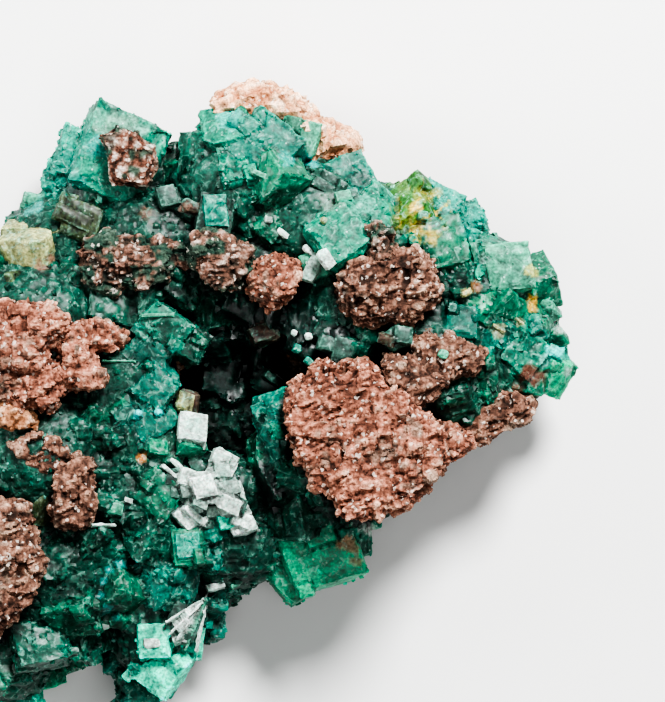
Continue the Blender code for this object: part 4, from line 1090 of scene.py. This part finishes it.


# Fine mottling and cracks of a crystal face, and painted glints as tiny pale specks
def crystalFaceGroup():
    group, given, place = surfaceGroup(
        "Crystal face", {"Frost": 0.4, "Sparkle": 0.5, "Cracks": 0.4, "Fineness": 1.0}
    )
    mottle = addNode(group, "ShaderNodeTexNoise", {"Vector": place, "Scale": 3800, "Detail": 3}).outputs[0]
    streaks = addNode(
        group, "ShaderNodeTexNoise", {"Vector": place, "Scale": 900, "Detail": 4, "Distortion": 2.2}
    ).outputs
    speck = addNode(group, "ShaderNodeTexVoronoi", {"Vector": place, "Scale": 3000}).outputs
    lit = mapped(group, colourPart(group, given["Tint"], 1), 0.01, 0.12)  # little light comes from dark places
    # painted glints: a few tiny cells are turned pale, fewer where the tint is dark
    chosen = mapped(group, colourPart(group, speck["Color"], 0), 0.90, 0.97)
    spark = product(group, chosen, mapped(group, speck["Distance"], 0.38, 0.16))
    sparkShare = product(group, product(group, spark, lit), given["Sparkle"])
    bend = scaledVector(group, streaks["Color"], 0.0009)
    bent = addNode(group, "ShaderNodeVectorMath", {0: place, 1: bend}, operation="ADD").outputs[0]
    crack = addNode(
        group, "ShaderNodeTexVoronoi", {"Vector": bent, "Scale": 620}, feature="DISTANCE_TO_EDGE"
    ).outputs["Distance"]
    broken = product(group, mapped(group, streaks[0], 0.44, 0.60), lit)
    crackShare = product(group, product(group, mapped(group, crack, 0.075, 0.0), broken), given["Cracks"])
    tinted = scaledVector(group, given["Tint"], mapped(group, mottle, 0.3, 0.7, 0.50, 1.50))
    veilShare = product(group, mapped(group, streaks[0], 0.55, 0.72, 0.0, 0.26), given["Frost"])
    veiled = blended(group, veilShare, tinted, (0.26, 0.62, 0.50, 1))
    cracked = blended(group, crackShare, veiled, (0.34, 0.72, 0.58, 1))
    rough = mapped(group, given["Frost"], 0.0, 1.0, 0.27, 0.66)
    addNode(group, "NodeGroupOutput", {
        "Colour": blended(group, sparkShare, cracked, (0.72, 0.90, 0.82, 1)),
        "Roughness": productPlus(group, mottle, 0.16, rough),
        "Height": productPlus(group, streaks[0], 0.5, product(group, mottle, given["Frost"])),
    })
    return group


# Grains and pits of broken rock, finer than its mesh
def rockGrainGroup():
    group, given, place = surfaceGroup("Rock grain", {"Fleck": 0.5, "Fineness": 1.0})
    grain = addNode(
        group, "ShaderNodeTexNoise", {"Vector": place, "Scale": 4200, "Detail": 4, "Roughness": 0.65}
    ).outputs[0]
    cell = addNode(group, "ShaderNodeTexVoronoi", {"Vector": place, "Scale": 3400}).outputs
    tinted = scaledVector(group, given["Tint"], mapped(group, grain, 0.32, 0.68, 0.45, 1.55))
    share = product(group, mapped(group, colourPart(group, cell["Color"], 1), 0.93, 0.97), given["Fleck"])
    addNode(group, "NodeGroupOutput", {
        "Colour": blended(group, share, tinted, (0.80, 0.74, 0.66, 1)),
        "Roughness": mapped(group, share, 0.0, 1.0, 0.92, 0.35),
        "Height": productPlus(group, cell["Distance"], -0.6, grain),
    })
    return group


crystalFace = crystalFaceGroup()
rockGrain = rockGrainGroup()


def surfaceMaterial(name, group, look):
    made = bpy.data.materials.new(name)
    made.use_nodes = True
    tree = made.node_tree
    tint = addNode(tree, "ShaderNodeAttribute", attribute_name="tint").outputs["Color"]
    surface = addNode(tree, "ShaderNodeGroup", {}, node_tree=group)
    tree.links.new(tint, surface.inputs["Tint"])
    if "Frost" in surface.inputs:
        frost = addNode(tree, "ShaderNodeAttribute", attribute_name="frost").outputs["Fac"]
        tree.links.new(frost, surface.inputs["Frost"])
    for key, value in look["group"].items():
        surface.inputs[key].default_value = value
    strength, distance = look["bump"]
    bump = addNode(tree, "ShaderNodeBump", {
        "Strength": strength, "Distance": distance * metre, "Height": surface.outputs["Height"],
    })
    shader = tree.nodes["Principled BSDF"]
    tree.links.new(surface.outputs["Colour"], shader.inputs["Base Color"])
    tree.links.new(surface.outputs["Roughness"], shader.inputs["Roughness"])
    tree.links.new(bump.outputs["Normal"], shader.inputs["Normal"])
    for key, value in look["shader"].items():
        shader.inputs[key].default_value = value
    if "absorbs" in look:
        colour, density = look["absorbs"]
        absorb = addNode(tree, "ShaderNodeVolumeAbsorption", {"Color": (*colour, 1), "Density": density})
        tree.links.new(absorb.outputs[0], tree.nodes["Material Output"].inputs["Volume"])
    return made


looks = {
    "clear": {
        "group": {"Sparkle": 0.55, "Cracks": 0.50, "Fineness": 1.0},
        "shader": {
            "IOR": 1.66, "Transmission Weight": 0.30, "Coat Weight": 0.0, "Coat Roughness": 0.08,
            "Specular IOR Level": 0.20, "Subsurface Weight": 0.35, "Subsurface Scale": 0.0011,
            "Subsurface Radius": (0.15, 1.0, 0.6),
        },
        "bump": (0.35, 0.06),
        "absorbs": ((0.05, 0.82, 0.55), 180),
    },
    "frosted": {
        "group": {"Sparkle": 0.55, "Cracks": 0.45, "Fineness": 1.0},
        "shader": {
            "IOR": 1.66, "Transmission Weight": 0.10, "Coat Weight": 0.0, "Coat Roughness": 0.15,
            "Specular IOR Level": 0.25, "Subsurface Weight": 0.25, "Subsurface Scale": 0.0008,
            "Subsurface Radius": (0.3, 1.0, 0.75),
        },
        "bump": (0.5, 0.07),
    },
    "rock": {
        "group": {"Fleck": 0.5, "Fineness": 1.0},
        "shader": {"IOR": 1.5, "Specular IOR Level": 0.35},
        "bump": (0.8, 0.09),
    },
}
materials = {
    "clear": surfaceMaterial("Clear dioptase", crystalFace, looks["clear"]),
    "frosted": surfaceMaterial("Frosted dioptase", crystalFace, looks["frosted"]),
    "rock": surfaceMaterial("Broken ironstone", rockGrain, looks["rock"]),
    "host": surfaceMaterial("Host rock", rockGrain, looks["rock"]),
}
slots = {"tan": "tan_ironstone", "host": "host_rock"}

sharpEdges = {"crystals": 22, "rocks": 40}  # degrees


def dressed(entry, share, sharp, slotName, nodeName):
    piece, points, colour, kind = entry[:4]
    # painted shade: the tint is darkened where a point lies deep under the face around it
    paint(piece.data, "tint", colour * (1 - share * hollowness(points, mapsAround))[:, None])
    fewerHidden(piece, points)
    piece.data.materials.append(materials.get(kind, materials["rock"]))
    piece.data.shade_smooth()
    piece.data.set_sharp_from_angle(angle=math.radians(sharp))
    finishPiece(piece, slotName, nodeName)


for entry in masses:
    dressed(entry, tone["hollowShade"], sharpEdges["crystals"], "dioptase_green", "dioptase")
for entry in rocks:
    share = tone["rockHollowShade"] * tone["hollowShade"]
    dressed(entry, share, sharpEdges["rocks"], slots.get(entry[3], "red_ironstone"), entry[4])
print("Crystals and rocks finished")


# Druse and crumbs: small rhombs strewn over a surface, thickest where its "druse" attribute is high
def strewnTree():
    tree = bpy.data.node_groups.new("Strewn crystals", "GeometryNodeTree")
    addSocket(tree, "Geometry", "Geometry")
    for name, value in (("Density", 1.0), ("Smallest", 0.0002), ("Largest", 0.0006), ("Tilt", 0.5)):
        addSocket(tree, name, "Float", value=value)
    addSocket(tree, "Seed", "Int", value=1)
    addSocket(tree, "Material", "Material")
    addSocket(tree, "Geometry", "Geometry", "OUTPUT")
    given = addNode(tree, "NodeGroupInput").outputs
    mask = addNode(tree, "GeometryNodeInputNamedAttribute", {0: "druse"}, data_type="FLOAT").outputs[0]
    points = addNode(tree, "GeometryNodeDistributePointsOnFaces", {
        "Mesh": given["Geometry"], "Density": product(tree, given["Density"], mask), "Seed": given["Seed"],
    }).outputs
    # a cube stood on its corner and drawn out to the rhomb of a crystal
    rhomb = addNode(tree, "GeometryNodeMeshCube").outputs["Mesh"]
    stretch = math.tan(math.radians(habit["lean"])) / math.sqrt(2)
    onCorner = (("Rotation", (0, 0, -math.pi / 4)), ("Rotation", (0, -math.atan(math.sqrt(2)), 0)))
    for change, amount in (*onCorner, ("Scale", (1, 1, stretch))):
        rhomb = addNode(tree, "GeometryNodeTransform", {0: rhomb, change: amount}).outputs[0]
    under = product(tree, given["Tilt"], -1)
    least = addNode(tree, "ShaderNodeCombineXYZ", {0: under, 1: under}).outputs[0]
    most = addNode(tree, "ShaderNodeCombineXYZ", {0: given["Tilt"], 1: given["Tilt"], 2: 2 * math.pi}).outputs[0]
    leans = addNode(
        tree, "FunctionNodeRandomValue", {"Min": least, "Max": most, "Seed": given["Seed"]}, data_type="FLOAT_VECTOR"
    ).outputs[0]
    lean = addNode(tree, "FunctionNodeEulerToRotation", {0: leans}).outputs[0]
    turn = addNode(
        tree, "FunctionNodeRotateRotation", {"Rotation": points["Rotation"], "Rotate By": lean}, rotation_space="LOCAL"
    ).outputs[0]
    chance = addNode(tree, "FunctionNodeRandomValue", data_type="FLOAT").outputs[1]
    few = addNode(tree, "ShaderNodeMath", {0: chance, 1: 2.4}, operation="POWER").outputs[0]
    uneven = addNode(
        tree, "FunctionNodeRandomValue", {"Min": (0.75,) * 3, "Max": (1.3,) * 3, "Seed": 3}, data_type="FLOAT_VECTOR"
    ).outputs[0]
    strewn = addNode(tree, "GeometryNodeInstanceOnPoints", {
        "Points": points["Points"], "Instance": rhomb, "Rotation": turn,
        "Scale": scaledVector(tree, uneven, mapped(tree, few, 0.0, 1.0, given["Smallest"], given["Largest"])),
    }).outputs[0]
    shade = addNode(tree, "FunctionNodeRandomValue", {"Seed": 9}, data_type="FLOAT").outputs[1]
    kept = addNode(
        tree, "GeometryNodeStoreNamedAttribute", {"Geometry": strewn, "Name": "shade", "Value": shade},
        data_type="FLOAT", domain="INSTANCE",
    ).outputs[0]
    real = addNode(tree, "GeometryNodeRealizeInstances", {0: kept}).outputs[0]
    finished = addNode(tree, "GeometryNodeSetMaterial", {"Geometry": real, "Material": given["Material"]})
    addNode(tree, "NodeGroupOutput", {0: finished.outputs[0]})
    return tree


strewing = strewnTree()
strewnKinds = {  # how many for each square metre, sizes in mm, tilt in radians, how dark and light they are, their frost, and the colour of their painted glints
    "clear": {
        "Density": 1.5e6, "Smallest": 0.16, "Largest": 0.55, "Tilt": 0.7,
        "shades": (0.55, 2.1), "frost": 0.25, "spark": (0.10, 0.32, 0.24),
    },
    "frosted": {
        "Density": 1.9e6, "Smallest": 0.14, "Largest": 0.48, "Tilt": 0.9,
        "shades": (0.75, 1.6), "frost": 0.7, "spark": (0.10, 0.34, 0.26),
    },
    "rock": {
        "Density": 1.8e6, "Smallest": 0.10, "Largest": 0.32, "Tilt": 1.6,
        "shades": (0.6, 1.35), "frost": 0.9, "spark": (0.17, 0.115, 0.085),
    },
}
sparkling = 0.07  # the share of them given painted glints


def strew(hosts, name, kind, slotName, replaced, seed):
    look = strewnKinds[kind]
    meshes = []
    for number, host in enumerate(hosts):
        carrier = newObject("carrier", host.data)
        grown = carrier.modifiers.new("strewn", "NODES")
        grown.node_group = strewing
        settings = {**look, "Seed": seed + number, "Material": materials[kind]}
        for size in ("Smallest", "Largest"):
            settings[size] = look[size] * metre
        for item in strewing.interface.items_tree:
            if item.in_out == "INPUT" and item.name in settings:
                grown[item.identifier] = settings[item.name]
        meshes.append(evaluatedMesh(carrier))
        bpy.data.objects.remove(carrier)
    build = bmesh.new()
    for mesh in meshes:
        build.from_mesh(mesh)
    whole = bpy.data.meshes.new(name)
    build.to_mesh(whole)
    build.free()
    piece = newObject(name, whole)
    count = len(whole.vertices)
    tint, shade = np.empty(count * 4, dtype=np.float32), np.empty(count, dtype=np.float32)
    whole.attributes["tint"].data.foreach_get("color", tint)
    whole.attributes["shade"].data.foreach_get("value", shade)
    for extra in [layer.name for layer in whole.attributes if layer.name in ("tint", "shade", "frost", "druse")]:
        whole.attributes.remove(whole.attributes[extra])
    low, high = look["shades"]
    colour = tint.reshape(-1, 4)[:, :3] * (low + (high - low) * shade ** 1.5)[:, None]
    # painted glints: the few that sparkle are turned pale, less so where the tint is dark
    lit = smoothStep(colour.max(axis=1), 0.01, 0.12)[:, None]
    colour = np.where((shade > 1 - sparkling)[:, None], colour * 0.6 + np.array(look["spark"]) * lit, colour)
    paint(whole, "tint", colour)
    if kind != "rock":
        paint(whole, "frost", np.full(count, look["frost"]))
    whole.materials.clear()
    whole.materials.append(materials[kind])
    finishPiece(piece, slotName, *replaced)
    print("Strewn,", name, len(whole.polygons))


strew([entry[0] for entry in masses[:5]], "druse_on_clear", "clear", "dioptase_green", ["dioptase"], 20)
strew([entry[0] for entry in masses[5:7]], "druse_on_frosted", "frosted", "dioptase_green", ["dioptase"], 40)
reds = [entry for entry in rocks if entry[3] not in ("tan", "host")]
strew([entry[0] for entry in reds], "ironstone_grains", "rock", "red_ironstone", [entry[4] for entry in reds], 60)

# Stage, light and camera
studio = {
    "floor": (0.80, 0.80, 0.79),
    "roughness": 0.75,
    "reach": 900,
    "sky": (0.95, 0.97, 1),
    "world": 0.08,
    "key": ((0.13, 0.30, 0.36), 0.14, 4.6),  # place, width, watts
    "side": ((-0.36, 0.10, 0.16), 0.20, 1.0),
    "top": ((0.05, -0.14, 0.50), 0.40, 0.9),
}
far = studio["reach"]
floorMesh = meshFrom("floor", [(-far, -far, 0), (far, -far, 0), (far, far, 0), (-far, far, 0)], [(0, 1, 2, 3)])
floor = newObject("floor", floorMesh)
floorLook = bpy.data.materials.new("Pale floor")
floorLook.use_nodes = True
floorShader = floorLook.node_tree.nodes["Principled BSDF"].inputs
floorShader["Base Color"].default_value = (*studio["floor"], 1)
floorShader["Roughness"].default_value = studio["roughness"]
floor.data.materials.append(floorLook)

scene = bpy.context.scene
world = bpy.data.worlds.new("Studio")
world.use_nodes = True
world.node_tree.nodes["Background"].inputs["Color"].default_value = (*studio["sky"], 1)
world.node_tree.nodes["Background"].inputs["Strength"].default_value = studio["world"]
scene.world = world
for name in ("key", "side", "top"):
    place, width, watts = studio[name]
    lamp = bpy.data.lights.new(name, "AREA")
    lamp.shape = "DISK"
    lamp.size = width
    lamp.energy = watts
    lampObject = newObject(name, lamp)
    lampObject.location = place
    lampObject.rotation_euler = (Vector((0, 0, 0.01)) - Vector(place)).to_track_quat("-Z", "Y").to_euler()

view = {"centre": (332.5, 351), "distance": 0.4, "focus": 0.012, "span": 0.0702}
camera = bpy.data.cameras.new("camera")
camera.sensor_width = 36
camera.lens = 36 * view["distance"] / view["span"]
camera.clip_start = 0.01
camera.clip_end = 10
cameraObject = newObject("camera", camera)
cameraObject.location = (*(spot(*view["centre"], 0)[:2] * metre), view["focus"] + view["distance"])
scene.camera = cameraObject
scene.view_settings.view_transform = "AgX"
scene.view_settings.look = "AgX - Very High Contrast"
print("Studio set")
